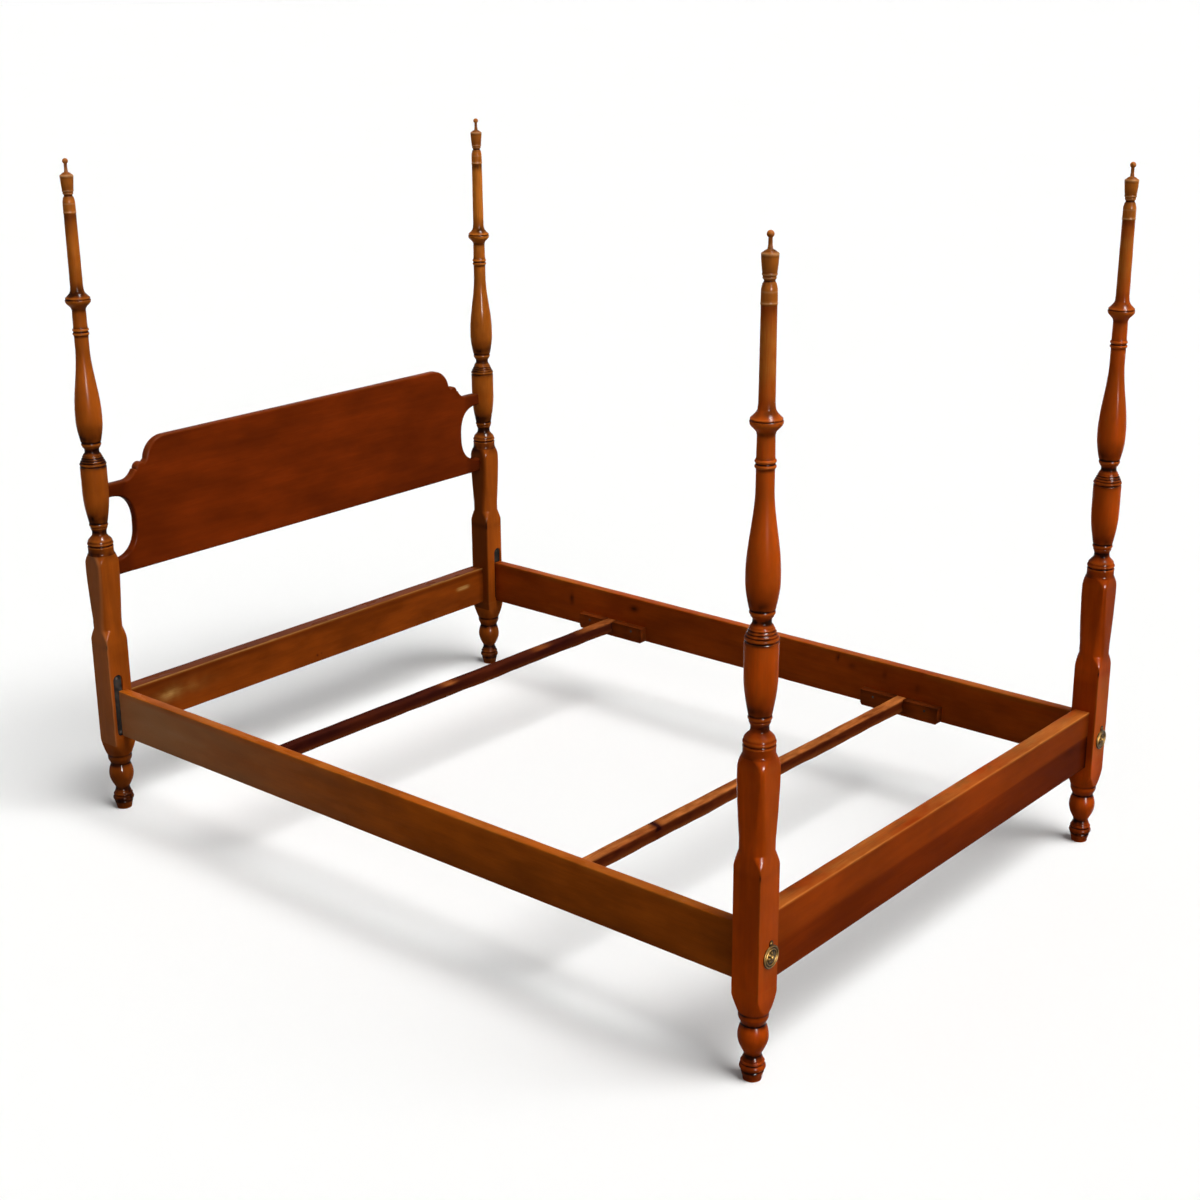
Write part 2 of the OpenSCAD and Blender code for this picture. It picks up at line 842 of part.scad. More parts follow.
module cleat_screw_pair(side, end, play = 0) {
    for (dy = [-cleat_screw_pitch, cleat_screw_pitch])
        translate([inner_x(side) - side * cleat_t, cleat_y(side, end) + dy, cleat_z + cleat_screw_up])
            rotate([0, -side * 90, 0])
                flat_screw(cleat_screw_l, play);
}

// Side view of a cleat, centred on x = 0, with ovolo lower corners
cleat_fillet = 2;
cleat_outline = concat(
    [[-cleat_l / 2, cleat_h]],
    [[-cleat_l / 2, cleat_ovolo_r + cleat_fillet]],
    arc([-cleat_l / 2 + cleat_fillet + cleat_ovolo_r, cleat_ovolo_r], cleat_ovolo_r, 180, 270, 5),
    arc([cleat_l / 2 - cleat_fillet - cleat_ovolo_r, cleat_ovolo_r], cleat_ovolo_r, 270, 360, 5),
    [[cleat_l / 2, cleat_ovolo_r + cleat_fillet]],
    [[cleat_l / 2, cleat_h]]
);

module cleat(side, end) {
    x_from = min(inner_x(side), inner_x(side) - side * cleat_t);
    color("#6b2c0e")
        difference() {
            translate([x_from, cleat_y(side, end), cleat_z])
                rotate([90, 0, 90])
                    linear_extrude(cleat_t)
                        polygon(cleat_outline);
            block(
                [x_from - cut, seat_y(side, end) - slat_w / 2 - notch_play, slat_z],
                [x_from + cleat_t + cut, seat_y(side, end) + slat_w / 2 + notch_play,
                    cleat_z + cleat_h + cut]
            );
            cleat_screw_pair(side, end, screw_play);
        }
}

// A rough bar that lies loose in the notches of two cleats
slat_span = inner_x(RIGHT) - inner_x(LEFT) - cleat_t;
slat_turn = atan(slat_askew / slat_span);
slat_rest = cleat_t / 2 - slat_end_gap;

module slat(end) {
    color("#7a3614")
        translate([inner_x(RIGHT) - cleat_t / 2, slat_y(end), slat_z])
            rotate(-slat_turn)
                block([-slat_span - slat_rest, -slat_w / 2, 0], [slat_rest, slat_w / 2, slat_h]);
}

// Cast disc on a tab that swings aside from its bolt; turned round -Y
cover_h = cover_proud - face_gap;
cover_turning = [
    [tab_t, cover_r, LINE],
    [1.8, cover_r - 2, SLACK],
    [-1, cover_r - 3.6, EASE],
    [0.2, cover_r - 7, LINE],
    [1.2, cover_r - 8, LINE],
    [-1, cover_r - 9.8, EASE],
    [0.6, cover_r * 0.5, EASE],
    [cover_h - tab_t - 1.8, 0, SLACK]
];
petals = 8;
petal_r = 2.8;
// The petals stand clear of the disc's back face by this much
petal_lift = 0.2;

module bolt_cover(side) {
    color("#8a6a2a")
        difference() {
            translate([cover_x(side), foot_y - half_w - face_gap, bolt_z])
                rotate([90, 0, 0]) {
                    rotate_extrude()
                        polygon(turned(cover_turning, cover_r));
                    for (k = [0 : petals - 1])
                        rotate([0, 0, 360 * k / petals])
                            translate([cover_r * 0.4, 0, petal_r + petal_lift])
                                sphere(petal_r);
                    linear_extrude(tab_t) {
                        translate([-tab_r, 0])
                            square([2 * tab_r, pivot_rise]);
                        translate([0, pivot_rise])
                            circle(tab_r);
                    }
                }
            pivot_shank_through(side);
        }
}

module pivot_shank_through(side) {
    translate([cover_x(side), foot_y - half_w + cut, pivot_z])
        rotate([90, 0, 0])
            cylinder(h = cover_proud + 2 * cut, r = pivot_r + pivot_play);
}

// Round-headed screws that the covers swing on
module cover_screw(side) {
    head_y_face = foot_y - half_w - 2 * face_gap - tab_t;
    translate([cover_x(side), head_y_face, pivot_z])
        rotate([90, 0, 0]) {
            rotate_extrude()
                polygon(turned([[2.6, 0, SLACK]], pivot_r * 2.1));
            translate([0, 0, -2 * face_gap - tab_t])
                cylinder(h = 2 * face_gap + tab_t + cut / 2, r = pivot_r);
        }
    pivot_shank(side);
}

module bed_bolt(side) {
    translate([rail_x(side), bolt_seat_y, bolt_z])
        rotate([-90, 0, 0]) {
            cylinder(h = bolt_l, r = bolt_r);
            translate([0, 0, -bolt_flange_h])
                cylinder(h = bolt_flange_h, r = recess_r - 1);
            translate([0, 0, -bolt_flange_h - bolt_hex_h])
                cylinder(h = bolt_hex_h, r = recess_r - 2.5, $fn = 6);
        }
}

module bed_nut(side) {
    difference() {
        nut_barrel(side, 0, nut_l / 2);
        translate([rail_x(side), nut_y - nut_r - cut, bolt_z])
            rotate([-90, 0, 0])
                cylinder(h = 2 * (nut_r + cut), r = bolt_r + screw_play);
    }
}

module post_head_left() head_post(LEFT);
module post_head_right() head_post(RIGHT);
module post_foot_left() foot_post(LEFT);
module post_foot_right() foot_post(RIGHT);

module cleat_screws() {
    color("#2e2c2a")
        for (side = [LEFT, RIGHT], end = [LEFT, RIGHT])
            cleat_screw_pair(side, end);
}

module hook_screws() {
    color("#55524d")
        for (side = [LEFT, RIGHT])
            hook_screw_row(side);
}

module socket_screws() {
    color("#55524d")
        for (side = [LEFT, RIGHT])
            socket_screw_pair(side);
}

module cover_screws() {
    color("#9a7a34")
        for (side = [LEFT, RIGHT])
            cover_screw(side);
}

module bed_bolts() {
    color("#4a4845")
        for (side = [LEFT, RIGHT])
            bed_bolt(side);
}

module bed_nuts() {
    color("#4a4845")
        for (side = [LEFT, RIGHT])
            bed_nut(side);
}

post_head_left();
post_head_right();
post_foot_left();
post_foot_right();
finial(LEFT, head_y);  // finial_head_left
finial(RIGHT, head_y);  // finial_head_right
finial(LEFT, foot_y);  // finial_foot_left
finial(RIGHT, foot_y);  // finial_foot_right
headboard();
head_rail();
foot_rail();
side_rail(LEFT);  // side_rail_left
side_rail(RIGHT);  // side_rail_right
slat(RIGHT);  // slat_head
slat(LEFT);  // slat_foot
cleat(LEFT, RIGHT);  // cleat_head_left
cleat(RIGHT, RIGHT);  // cleat_head_right
cleat(LEFT, LEFT);  // cleat_foot_left
cleat(RIGHT, LEFT);  // cleat_foot_right
cleat_screws();
hook_plate(LEFT);  // hook_plate_left
hook_plate(RIGHT);  // hook_plate_right
hook_screws();
socket_plate(LEFT);  // socket_plate_left
socket_plate(RIGHT);  // socket_plate_right
socket_screws();
bolt_cover(LEFT);  // bolt_cover_left
bolt_cover(RIGHT);  // bolt_cover_right
cover_screws();
bed_bolts();
bed_nuts();
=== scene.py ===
"""Four-post bed in stained maple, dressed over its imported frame.

Sizes in the tables and in the makers' functions are in millimetres, as on a workshop drawing,
and meshes are in metres. X runs across the bed, Y from foot to head, Z up from the floor.
"""

import math

import bmesh
import bpy
import numpy as np
from bpy.props import FloatProperty, FloatVectorProperty, IntProperty, PointerProperty
from mathutils import Matrix, Vector, noise


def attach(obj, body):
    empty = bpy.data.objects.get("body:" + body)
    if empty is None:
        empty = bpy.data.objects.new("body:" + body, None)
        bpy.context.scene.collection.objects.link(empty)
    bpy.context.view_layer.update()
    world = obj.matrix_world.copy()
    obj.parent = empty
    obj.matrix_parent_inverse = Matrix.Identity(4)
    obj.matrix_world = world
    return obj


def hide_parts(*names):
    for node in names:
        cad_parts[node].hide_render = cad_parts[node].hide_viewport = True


bl_info = {
    "name": "Four-post bed",
    "version": (1, 0, 0),
    "blender": (4, 5, 0),
    "location": "View3D > Sidebar > Bed",
    "description": "Builds a turned four-post bed frame in stained maple over its packed frame",
    "category": "Object",
}

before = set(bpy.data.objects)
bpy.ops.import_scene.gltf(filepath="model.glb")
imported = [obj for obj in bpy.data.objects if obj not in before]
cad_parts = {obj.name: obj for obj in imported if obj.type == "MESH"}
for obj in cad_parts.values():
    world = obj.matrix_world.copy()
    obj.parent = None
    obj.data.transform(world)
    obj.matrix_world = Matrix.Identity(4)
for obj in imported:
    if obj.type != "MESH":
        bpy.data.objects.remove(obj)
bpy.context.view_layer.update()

MM = 0.001
# Stretches of a turned profile: [height, radius at its end, shape]
LINE, EASE, FULL, SLACK, ROUND = range(5)
LEFT, RIGHT = -1, 1
SIDES = {"left": LEFT, "right": RIGHT}


def bead(h, r, back_r):
    """A bead that swells to a radius and comes back to another"""
    return [[h / 2, r, FULL], [h / 2, back_r, SLACK]]


# The posts, from the floor up
FOOT = [[7.92, 20, LINE], [11.88, 23.4, LINE], [2.2, 22.6, LINE]] + bead(14, 26.5, 24.2) + \
    [[1, 23.5, LINE]] + bead(7, 24.3, 21.5) + [
        [12.15, 18, EASE], [4.05, 18.2, LINE], [37.26, 31, FULL], [27.54, 25, SLACK],
        [18.2, 30.5, EASE], [7.8, 31, LINE], [54, 47.25, ROUND]]
BLOCKS = [
    [240, 47.25, LINE], [50, 35, SLACK], [24, 35, LINE], [126, 41, ROUND],
    [20, 40.7, LINE], [28, 32, SLACK], [3, 31.5, LINE]]
BELL = [[10, 31.3, LINE]] + bead(6, 31.8, 30.4) + [[1.5, 30, LINE]] + bead(8, 32, 30.4) + [
    [1.5, 30, LINE], [18.75, 18.1, EASE], [5.25, 17.8, LINE], [9, 20.4, SLACK]
] + bead(4, 21.2, 20.6) + bead(10, 23.1, 22.1) + [[1, 21.6, LINE]]
LOWER_VASE = [[0.8, 22.7, LINE], [78.65, 32.1, FULL], [63.55, 32.2, LINE]]
STEPPED_BELL = [[1.2, 30.8, LINE], [1.6, 30.8, LINE]] + bead(7.2, 32.5, 31) + \
    [[0.8, 29.2, LINE]] + bead(5.2, 29.8, 27.4) + [[0.8, 26.6, LINE]] + bead(5, 27, 24.8) + \
    [[0.8, 24, LINE]] + bead(4.6, 24.4, 22.6) + [
        [10.8, 17.8, EASE], [5, 17.8, LINE], [6, 21.5, SLACK], [2, 21.8, LINE]] + \
    bead(10, 24.2, 23.2) + [[1, 22.6, LINE], [1, 24.6, LINE]]
UPPER_VASE = [[55, 32.2, FULL], [8, 32.2, LINE], [168, 17, EASE]]
NECK = [[28, 17, LINE], [2, 17.5, LINE]] + bead(8, 19.8, 17.7) + [[1.5, 17.5, LINE]] + \
    bead(8, 19.8, 17.5) + [[5, 17, EASE], [38.5, 16.5, LINE]]
KNOP = [
    [2, 17.2, LINE], [20, 30.2, EASE], [2.5, 30.5, LINE], [1.5, 29.5, SLACK],
    [1, 28.3, LINE], [1, 29.5, LINE], [2, 29.3, LINE], [19, 16.1, FULL]]
SHAFT = [[8, 15.2, LINE], [171, 14.4, LINE]]
POST = FOOT + BLOCKS + BELL + LOWER_VASE + STEPPED_BELL + UPPER_VASE + NECK + KNOP + SHAFT
FINIAL = bead(6, 15.2, 14.8) + [
    [18, 14.6, LINE], [12, 12.6, SLACK], [6, 9.8, EASE], [2, 10.2, LINE]
] + bead(6, 12.4, 11.8) + bead(6, 13.6, 13.2) + [
    [32, 15.9, ROUND], [4, 11, SLACK], [5, 4.6, EASE], [6, 3.9, SLACK], [18.3, 3.7, LINE]]

POST_X, FOOT_Y, HEAD_Y = 695, -1001.35, 1008.65
ENDS = ("head", "foot")
END_Y = {"head": HEAD_Y, "foot": FOOT_Y}
HALF_STOCK = 32
BLOCK_Z, BLOCKS_TOP = 205, 690
POST_H = sum(stretch[0] for stretch in POST)
PAD_R = 19
FINIAL_R, BALL_R, BALL_NECK_R = 14.5, 6.7, 3.7
DOWEL_R, DOWEL_L, DOWEL_PLAY = 5, 30, 0.1
BOLT_Z, PIVOT_Z = 276, 305
BOLT_RECESS_R, BOLT_RECESS_D = 11.5, 12
# A cutter starts this far outside the face that it cuts
CUT_START = 4
SLOT_X = {LEFT: -703, RIGHT: 708}
SLOT_Z, SLOT_W, SLOT_D = (209, 375), 28, 8
# The socket behind a slot is this much shorter at each end, this wide and this deep in the post
SOCKET_IN, SOCKET_W, SOCKET_D = 20, 18, 18
COVER_X, COVER_GAP = {LEFT: -688, RIGHT: 702}, 0.3
# The tab above a cover: half width, thickness, radius of the hole for its screw
TAB_HALF, TAB_T, PIVOT_R = 6, 1.5, 2.05

RAIL_X = {LEFT: -690, RIGHT: 710}
RAIL_Z, RAIL_T, RAIL_H = 208, 26, 123
# How far the rails' drawn ends run into the posts
SIDE_RAIL_INTO, END_RAIL_INTO = 6, 5
# The barrel nut's hole: radius, how far it goes past the rail's middle, distance from the post
NUT_R, NUT_PAST, NUT_Y = 7.05, 9, 50
# The end rails: middle of the thickness, height
END_RAILS = {"foot_rail": (FOOT_Y + 4, 146), "head_rail": (HEAD_Y + 9, 110)}
END_RAIL_T, END_RAIL_HALF = 40, POST_X - HALF_STOCK

SLAT_X, SLAT_W, SLAT_Z = (-675, 695), 28, (217, 251)
SLAT_Y = {"head": 508.65, "foot": -476.35}
# A slat's left end lies this much nearer the head than its right, over this span, turned
# about a point this far from its right end
ASKEW, SLAT_SPAN, SLAT_PIVOT = 22, 1352, 9
CLEAT_Z, CLEAT_T, CLEAT_H, CLEAT_HALF = 207, 22, 44, 117
# A cleat's lower corners: this far in from its ends, and their radius
CLEAT_CORNER, CLEAT_ROUND = 7, 5
CLEAT_SHIFT = {"head": -8, "foot": -2}
NOTCH_HALF, NOTCH_FLOOR = 16, 10
# Cleat screws from the cleat's middle and from its foot
SCREW_Y, SCREW_Z = 78, 30


def linear(hex_colour):
    """An sRGB hex colour as linear RGB"""
    parts = [int(hex_colour[i:i + 2], 16) / 255 for i in (1, 3, 5)]
    return tuple(c / 12.92 if c <= 0.04045 else ((c + 0.055) / 1.055) ** 2.4 for c in parts)


def colour(name, what, hex_colour):
    """A colour that a user may change"""
    return FloatVectorProperty(name=name, description=what, subtype="COLOR", size=3,
                               min=0, max=1, default=linear(hex_colour))


def size(name, what, millimetres, low=0.0, high=0.1):
    """A length that a user may change"""
    return FloatProperty(name=name, description=what, unit="LENGTH", precision=4,
                         min=low, max=high, default=millimetres * MM)


def strength(name, what, default, top):
    """A lamp's strength or a share that a user may change"""
    return FloatProperty(name=name, description=what, subtype="FACTOR",
                         min=0, max=top, default=default)


class BedSizes(bpy.types.PropertyGroup):
    """Small sizes that the eye sees and the frame leaves plain"""

    arris: size("Block arris", "Radius of the square blocks' long edges", 1.6, 0.0005, 0.006)
    blend: size("Turning blend", "Softening where turning leaves the square", 0.7, 0.0002, 0.004)
    rail_edge: size("Rail edge", "Radius of the rails' long edges", 3, 0.001, 0.006)
    panel_edge: size("Panel edge", "Radius of the headboard's rounded edges", 5.5, 0.001, 0.009)
    slat_waste: size("Slat waste", "Depth of the saw's and knife's marks on a slat", 2.2, 0, 0.004)
    petals: IntProperty(name="Petals", description="Petals in the bolt covers' rosette",
                        min=4, max=12, default=8)


class BedFinishes(bpy.types.PropertyGroup):
    """Colours of the stain and lacquer on each group of pieces, and of the metal"""

    foot_post: colour("Foot posts", "Stained maple of the foot posts", "#CA4E0A")
    head_post: colour("Head posts", "Stained maple of the head posts", "#B05414")
    finial: colour("Finials", "Paler lacquered wood of the finials", "#D07428")
    panel: colour("Headboard", "Deep red-brown stain of the headboard", "#823009")
    head_rail: colour("Head rail", "Olive-brown stain of the head rail", "#8E3F0B")
    foot_rail: colour("Foot rail", "Orange-brown stain of the foot rail", "#9A3A08")
    left_rail: colour("Left rail", "Brown stain of the left side rail", "#AE5410")
    right_rail: colour("Right rail", "Red-brown stain of the right side rail", "#A8460C")
    slat: colour("Slats", "Rough slats", "#743010")
    cleat: colour("Cleats", "Dark stain of the cleats", "#9A420E")
    # This colour also darkens the painted shade in grooves, hollows and holes
    grime_and_shade: colour("Stain in grooves", "Dark stain that gathers in grooves", "#2A0D04")
    brass: colour("Brass", "Tarnished brass of the bolt covers", "#2C1E0C")
    steel: colour("Steel", "Dark oiled steel of plates and bolts", "#1A1816")


class BedStage(bpy.types.PropertyGroup):
    """Floor, lamps and camera"""

    floor: colour("Floor", "Pale floor and background", "#FEFEFD")
    floor_bounce: strength("Floor bounce", "Share of light the floor sends back", 0.15, 1)
    key: strength("Key lamp", "Strength of the soft lamp from the foot", 3.1, 10)
    spark: strength("Small lamps", "Strength of the two small lamps that only gloss shows",
                    32.0, 60)
    fill: strength("Fill lamp", "Strength of the soft lamp from the left", 0.16, 10)
    room: strength("Room light", "Strength of the light from all round", 0.14, 2)
    lens: FloatProperty(name="Lens", description="Focal length of the camera",
                        unit="CAMERA", min=20, max=200, default=57.8)


# Materials

# Real widths of what shows in each finish, in millimetres. Pores finer than a streak and
# freckles finer than these are lost at this distance, so they are drawn this coarse.
BLOTCH, GROWTH_LINE, STREAK = 250 / 3, 100 / 7, 25 / 12
TARNISH, RUB, FRECKLE, FLOOR_CLOUD = 50 / 13, 100 / 9, 50 / 31, 1250
# The axis that the grain runs along, and how many times finer the pattern is across it
GRAIN_X, GRAIN_Y, GRAIN_Z = range(3)
GRAIN_STRETCH, BLOTCH_SQUEEZE = 22, 0.35
# Wood and metal as they show under the stain, tarnish and oil, and the tan of a painted reflection
REFLECTED_TAN, BRASS_RUBBED, RUST = "#BC865A", "#806236", "#4A2A18"


def noise_scale(width):
    """The scale of a noise whose patches are this wide"""
    return 1000 / width


def add(tree, kind, inputs=(), **settings):
    """Adds a node with its settings, sets or links its inputs, and gives its outputs"""
    made = tree.nodes.new("ShaderNode" + kind)
    for key, value in settings.items():
        setattr(made, key, value)
    for key, value in inputs.items() if isinstance(inputs, dict) else enumerate(inputs):
        if isinstance(value, bpy.types.NodeSocket):
            tree.links.new(value, made.inputs[key])
        else:
            made.inputs[key].default_value = value
    return made.outputs


def emptied(owner):
    """The node tree of a new material or world, with nothing in it"""
    owner.use_nodes = True
    owner.node_tree.nodes.clear()
    return owner.node_tree


def rgba(rgb):
    """A colour as a socket takes it; what comes from a node stays as it is"""
    return rgb if isinstance(rgb, bpy.types.NodeSocket) else (*rgb[:3], 1.0)


def darker(rgb, share):
    return tuple(c * share for c in rgb[:3])


def coated(tree, ground, coats):
    """The colour of a ground under its coats, each the share that it covers and its colour"""
    for share, coat in coats:
        ground = add(tree, "Mix", {0: share, 6: rgba(ground), 7: rgba(coat)},
                     data_type="RGBA")[2]
    return ground


def ended(material, shader_inputs):
    """Ends a material in the common shader"""
    tree = material.node_tree
    add(tree, "OutputMaterial", [add(tree, "BsdfPrincipled", shader_inputs)[0]])
    return material


def maple(name, base, grime_and_shade, along, gloss=0.16, blotch=0.28, streak=0.16, worn="#B86A28",
          bump=0.25, ior=1.06):
    """Maple, planed or turned, wiped with stain and sprayed with satin lacquer.

    The eye gets blotches of stain a hand wide, faint growth lines 14 mm apart, fine
    streaks, dark stain with painted shade in the grooves and hollows, light worn edges with
    painted highlights on rings and arrises, and a painted tan reflection on some faces. Lacquer's
    index of refraction is about 1.5; it is matched down to what this bed shows, dark faces
    without the pale haze of the floor."""
    made = bpy.data.materials.new(name)
    tree = emptied(made)
    where = add(tree, "TexCoord")["Object"]
    squeeze, soft = [1.0] * 3, [1.0] * 3
    squeeze[along], soft[along] = 1 / GRAIN_STRETCH, BLOTCH_SQUEEZE
    grain = add(tree, "Mapping", {"Vector": where, "Scale": squeeze})[0]
    cloud = add(tree, "Mapping", {"Vector": where, "Scale": soft})[0]
    blotches = add(tree, "TexNoise", {"Vector": cloud, "Scale": noise_scale(BLOTCH),
                                      "Detail": 4.0, "Roughness": 0.55})[0]
    lines = add(tree, "TexNoise", {"Vector": grain, "Scale": noise_scale(GROWTH_LINE),
                                   "Detail": 2.0, "Distortion": 0.6})[0]
    streaks = add(tree, "TexNoise", {"Vector": grain, "Scale": noise_scale(STREAK),
                                     "Detail": 3.0, "Roughness": 0.6})[0]
    # The "stain" paint holds stain and painted shade, the "worn" paint wear and painted highlights,
    # and the third a painted tan reflection
    stain, wear_and_highlight_share, sheen_share = (add(tree, "Attribute", attribute_name=painted)["Fac"]
                           for painted in ("stain", "worn", "bloom"))
    # Painted stain and shade break up with the blotches, and painted wear and highlights along the
    # streaks
    stain_and_shade_cover, wear_and_highlight_cover = (
        add(tree, "Math", [share, add(tree, "MapRange", [pattern, 0.3, 0.6, low, high])[0]],
            operation="MULTIPLY", use_clamp=True)[0]
        for share, pattern, low, high in ((stain, blotches, 0.8, 1.1), (wear_and_highlight_share, streaks, 0.6, 1.15)))
    full = coated(tree, darker(base, 1 - blotch), [
        (add(tree, "MapRange", [blotches, 0.34, 0.68])[0],
         tuple(min(1, c * (1 + blotch * 0.9)) for c in base)),
        (add(tree, "MapRange", [lines, 0.42, 0.62, 0, streak])[0], darker(base, 0.45)),
        (add(tree, "MapRange", [streaks, 0.35, 0.65, 0, streak * 0.9])[0], darker(base, 0.35)),
        (stain_and_shade_cover, grime_and_shade), (wear_and_highlight_cover, linear(worn)), (sheen_share, linear(REFLECTED_TAN))])
    rough = add(tree, "MapRange", [blotches, 0.3, 0.7, gloss - 0.05, gloss + 0.07])[0]
    pores = add(tree, "Bump", {"Height": streaks, "Strength": bump, "Distance": 0.00035})[0]
    return ended(made, {"Base Color": full, "Roughness": rough, "Normal": pores, "IOR": ior})


def aged_brass(name, base, grime_and_shade):
    """Cast brass, buffed and left to tarnish: bright on raised rims, brown-black in the hollows"""
    made = bpy.data.materials.new(name)
    tree = emptied(made)
    where = add(tree, "TexCoord")["Object"]
    tarnish = add(tree, "TexNoise", {"Vector": where, "Scale": noise_scale(TARNISH),
                                     "Detail": 5.0})[0]
    stain, worn = (add(tree, "Attribute", attribute_name=painted)["Fac"]
                   for painted in ("stain", "worn"))
    full = coated(tree, darker(base, 0.6), [
        (add(tree, "MapRange", [tarnish, 0.35, 0.65])[0], base),
        (stain, grime_and_shade), (worn, linear(BRASS_RUBBED))])
    rough = add(tree, "MapRange", [tarnish, 0.3, 0.7, 0.36, 0.56])[0]
    pits = add(tree, "Bump", {"Height": tarnish, "Strength": 0.3, "Distance": 0.0002})[0]
    return ended(made, {"Base Color": full, "Roughness": rough, "Normal": pits, "Metallic": 1.0})


def oiled_steel(name, base):
    """Mild steel, blanked and dipped in oil: dark grey with rust-brown freckles and rubs"""
    made = bpy.data.materials.new(name)
    tree = emptied(made)
    where = add(tree, "TexCoord")["Object"]
    rubs, freckles = (
        add(tree, "TexNoise", {"Vector": where, "Scale": noise_scale(width), "Detail": detail})[0]
        for width, detail in ((RUB, 6.0), (FRECKLE, 2.0)))
    full = coated(tree, darker(base, 0.55), [
        (add(tree, "MapRange", [rubs, 0.4, 0.62])[0], base),
        (add(tree, "MapRange", [freckles, 0.6, 0.72, 0, 0.55])[0], linear(RUST))])
    rough = add(tree, "MapRange", [rubs, 0.35, 0.65, 0.38, 0.6])[0]
    return ended(made, {"Base Color": full, "Roughness": rough, "Metallic": 1.0})


def shows_background(tree):
    """One where the camera, gloss or glass looks, nought where light bounces off"""
    path = add(tree, "LightPath")
    seen = path["Is Camera Ray"]
    for other in ("Is Glossy Ray", "Is Transmission Ray"):
        seen = add(tree, "Math", [seen, path[other]], operation="MAXIMUM")[0]
    return seen


def pale_floor(name, shown, bounce):
    """Matt pale floor: it shows its own colour to camera and gloss, and sends back less light"""
    made = bpy.data.materials.new(name)
    tree = emptied(made)
    where = add(tree, "TexCoord")["Object"]
    mottle = add(tree, "TexNoise", {"Vector": where, "Scale": noise_scale(FLOOR_CLOUD),
                                    "Detail": 3.0})[0]
    face = coated(tree, darker(shown, 0.995),
                  [(add(tree, "MapRange", [mottle, 0.3, 0.7])[0], shown)])
    full = coated(tree, (bounce, bounce, bounce), [(shows_background(tree), face)])
    add(tree, "OutputMaterial", [add(tree, "BsdfDiffuse", [full])[0]])
    return made


# Meshes

def turned(stretches, first_r, fine=1.5, coarse=5.0):
    """Radii and heights of stacked stretches, sampled finely where they curve"""
    radii, heights = [first_r], [0.0]
    for h, end, shape in stretches:
        step = coarse if shape == LINE else (2.2 if h > 60 else fine)
        n = max(1 if h < 3 else 2, math.ceil(h / step))
        if shape != LINE:
            n = max(n, 4)
        t = np.arange(1, n + 1) / n
        way = {LINE: t, EASE: (1 - np.cos(np.pi * t)) / 2, FULL: np.sin(np.pi / 2 * t),
               SLACK: 1 - np.cos(np.pi / 2 * t), ROUND: (t + np.sin(np.pi / 2 * t)) / 2}[shape]
        start = radii[-1]
        radii += list(start + (end - start) * way)
        heights += list(heights[-1] + h * t)
    return np.array(radii), np.array(heights)


def square_radius(angles, half, arris):
    """Distance from a square stock's middle to its faces, with rounded arrises"""
    a = np.abs((angles + math.pi / 4) % (math.pi / 2) - math.pi / 4)
    c = half - arris
    face = half / np.cos(a)
    inside = np.maximum(arris ** 2 - (c * (np.cos(a) - np.sin(a))) ** 2, 0)
    corner = c * (np.cos(a) + np.sin(a)) + np.sqrt(inside)
    return np.where(np.tan(a) > c / half, corner, face)


def soft_min(a, b, k):
    """The lesser of two, blended where they differ by less than k"""
    h = np.maximum(k - np.abs(a - b), 0) / k
    return np.minimum(a, b) - h * h * k / 4


def arc(centre, r, start, end, n):
    """Points along an arc, from one angle in degrees to another"""
    return [(centre[0] + r * math.cos(math.radians(start + (end - start) * k / n)),
             centre[1] + r * math.sin(math.radians(start + (end - start) * k / n)))
            for k in range(n + 1)]


def seat_y(side, end):
    """Where a slat's middle crosses a side rail"""
    return SLAT_Y[end] + (ASKEW if side < 0 else 0)


def cleat_y(side, end):
    return seat_y(side, end) + CLEAT_SHIFT[end]


def ring_quads(rows, n, base=0):
    """Faces between stacked rings of n points"""
    return [[base + r * n + i, base + r * n + (i + 1) % n,
             base + (r + 1) * n + (i + 1) % n, base + (r + 1) * n + i]
            for r in range(rows - 1) for i in range(n)]


def tube(rows, n):
    """Faces of stacked rings, closed at both ends"""
    return ring_quads(rows, n) + [list(range(n))[::-1], list(range((rows - 1) * n, rows * n))]


def reworked(piece, change):
    """Runs a change on a piece's mesh in bmesh"""
    work = bmesh.new()
    work.from_mesh(piece.data)
    change(work)
    work.to_mesh(piece.data)
    work.free()


def shade(mesh, sharp):
    """Smooth shading, with edges sharper than an angle in degrees kept crisp"""
    mesh.polygons.foreach_set("use_smooth", [True] * len(mesh.polygons))
    mesh.set_sharp_from_angle(angle=math.radians(sharp))
    mesh.update()


def build(name, form, material, sharp=32, turn_out=False):
    """A mesh object from points in millimetres and faces; turn_out makes its faces look out"""
    verts, faces = form
    mesh = bpy.data.meshes.new(name)
    mesh.from_pydata((np.asarray(verts, float) * MM).tolist(), [], faces)
    mesh.update()
    made = bpy.data.objects.new(name, mesh)
    bpy.context.scene.collection.objects.link(made)
    mesh.materials.append(material)
    if turn_out:
        reworked(made, lambda work: bmesh.ops.recalc_face_normals(work, faces=work.faces))
    shade(mesh, sharp)
    return made


def lathe(radii, heights, angles, stock=None):
    """Points and faces of a turned form; stock is (half side, arris, blend) of its square part"""
    n = len(angles)
    reach = np.repeat(np.asarray(radii, float)[:, None], n, 1)
    if stock:
        half, arris, blend = stock
        reach = soft_min(reach, square_radius(angles, half, arris)[None, :], blend)
    z = np.repeat(np.asarray(heights, float)[:, None], n, 1)
    verts = np.stack([reach * np.cos(angles), reach * np.sin(angles), z], -1).reshape(-1, 3)
    return verts, tube(len(radii), n)


# A slab's flat faces end in a ring this far inside their rounded edges
LIP = 0.8


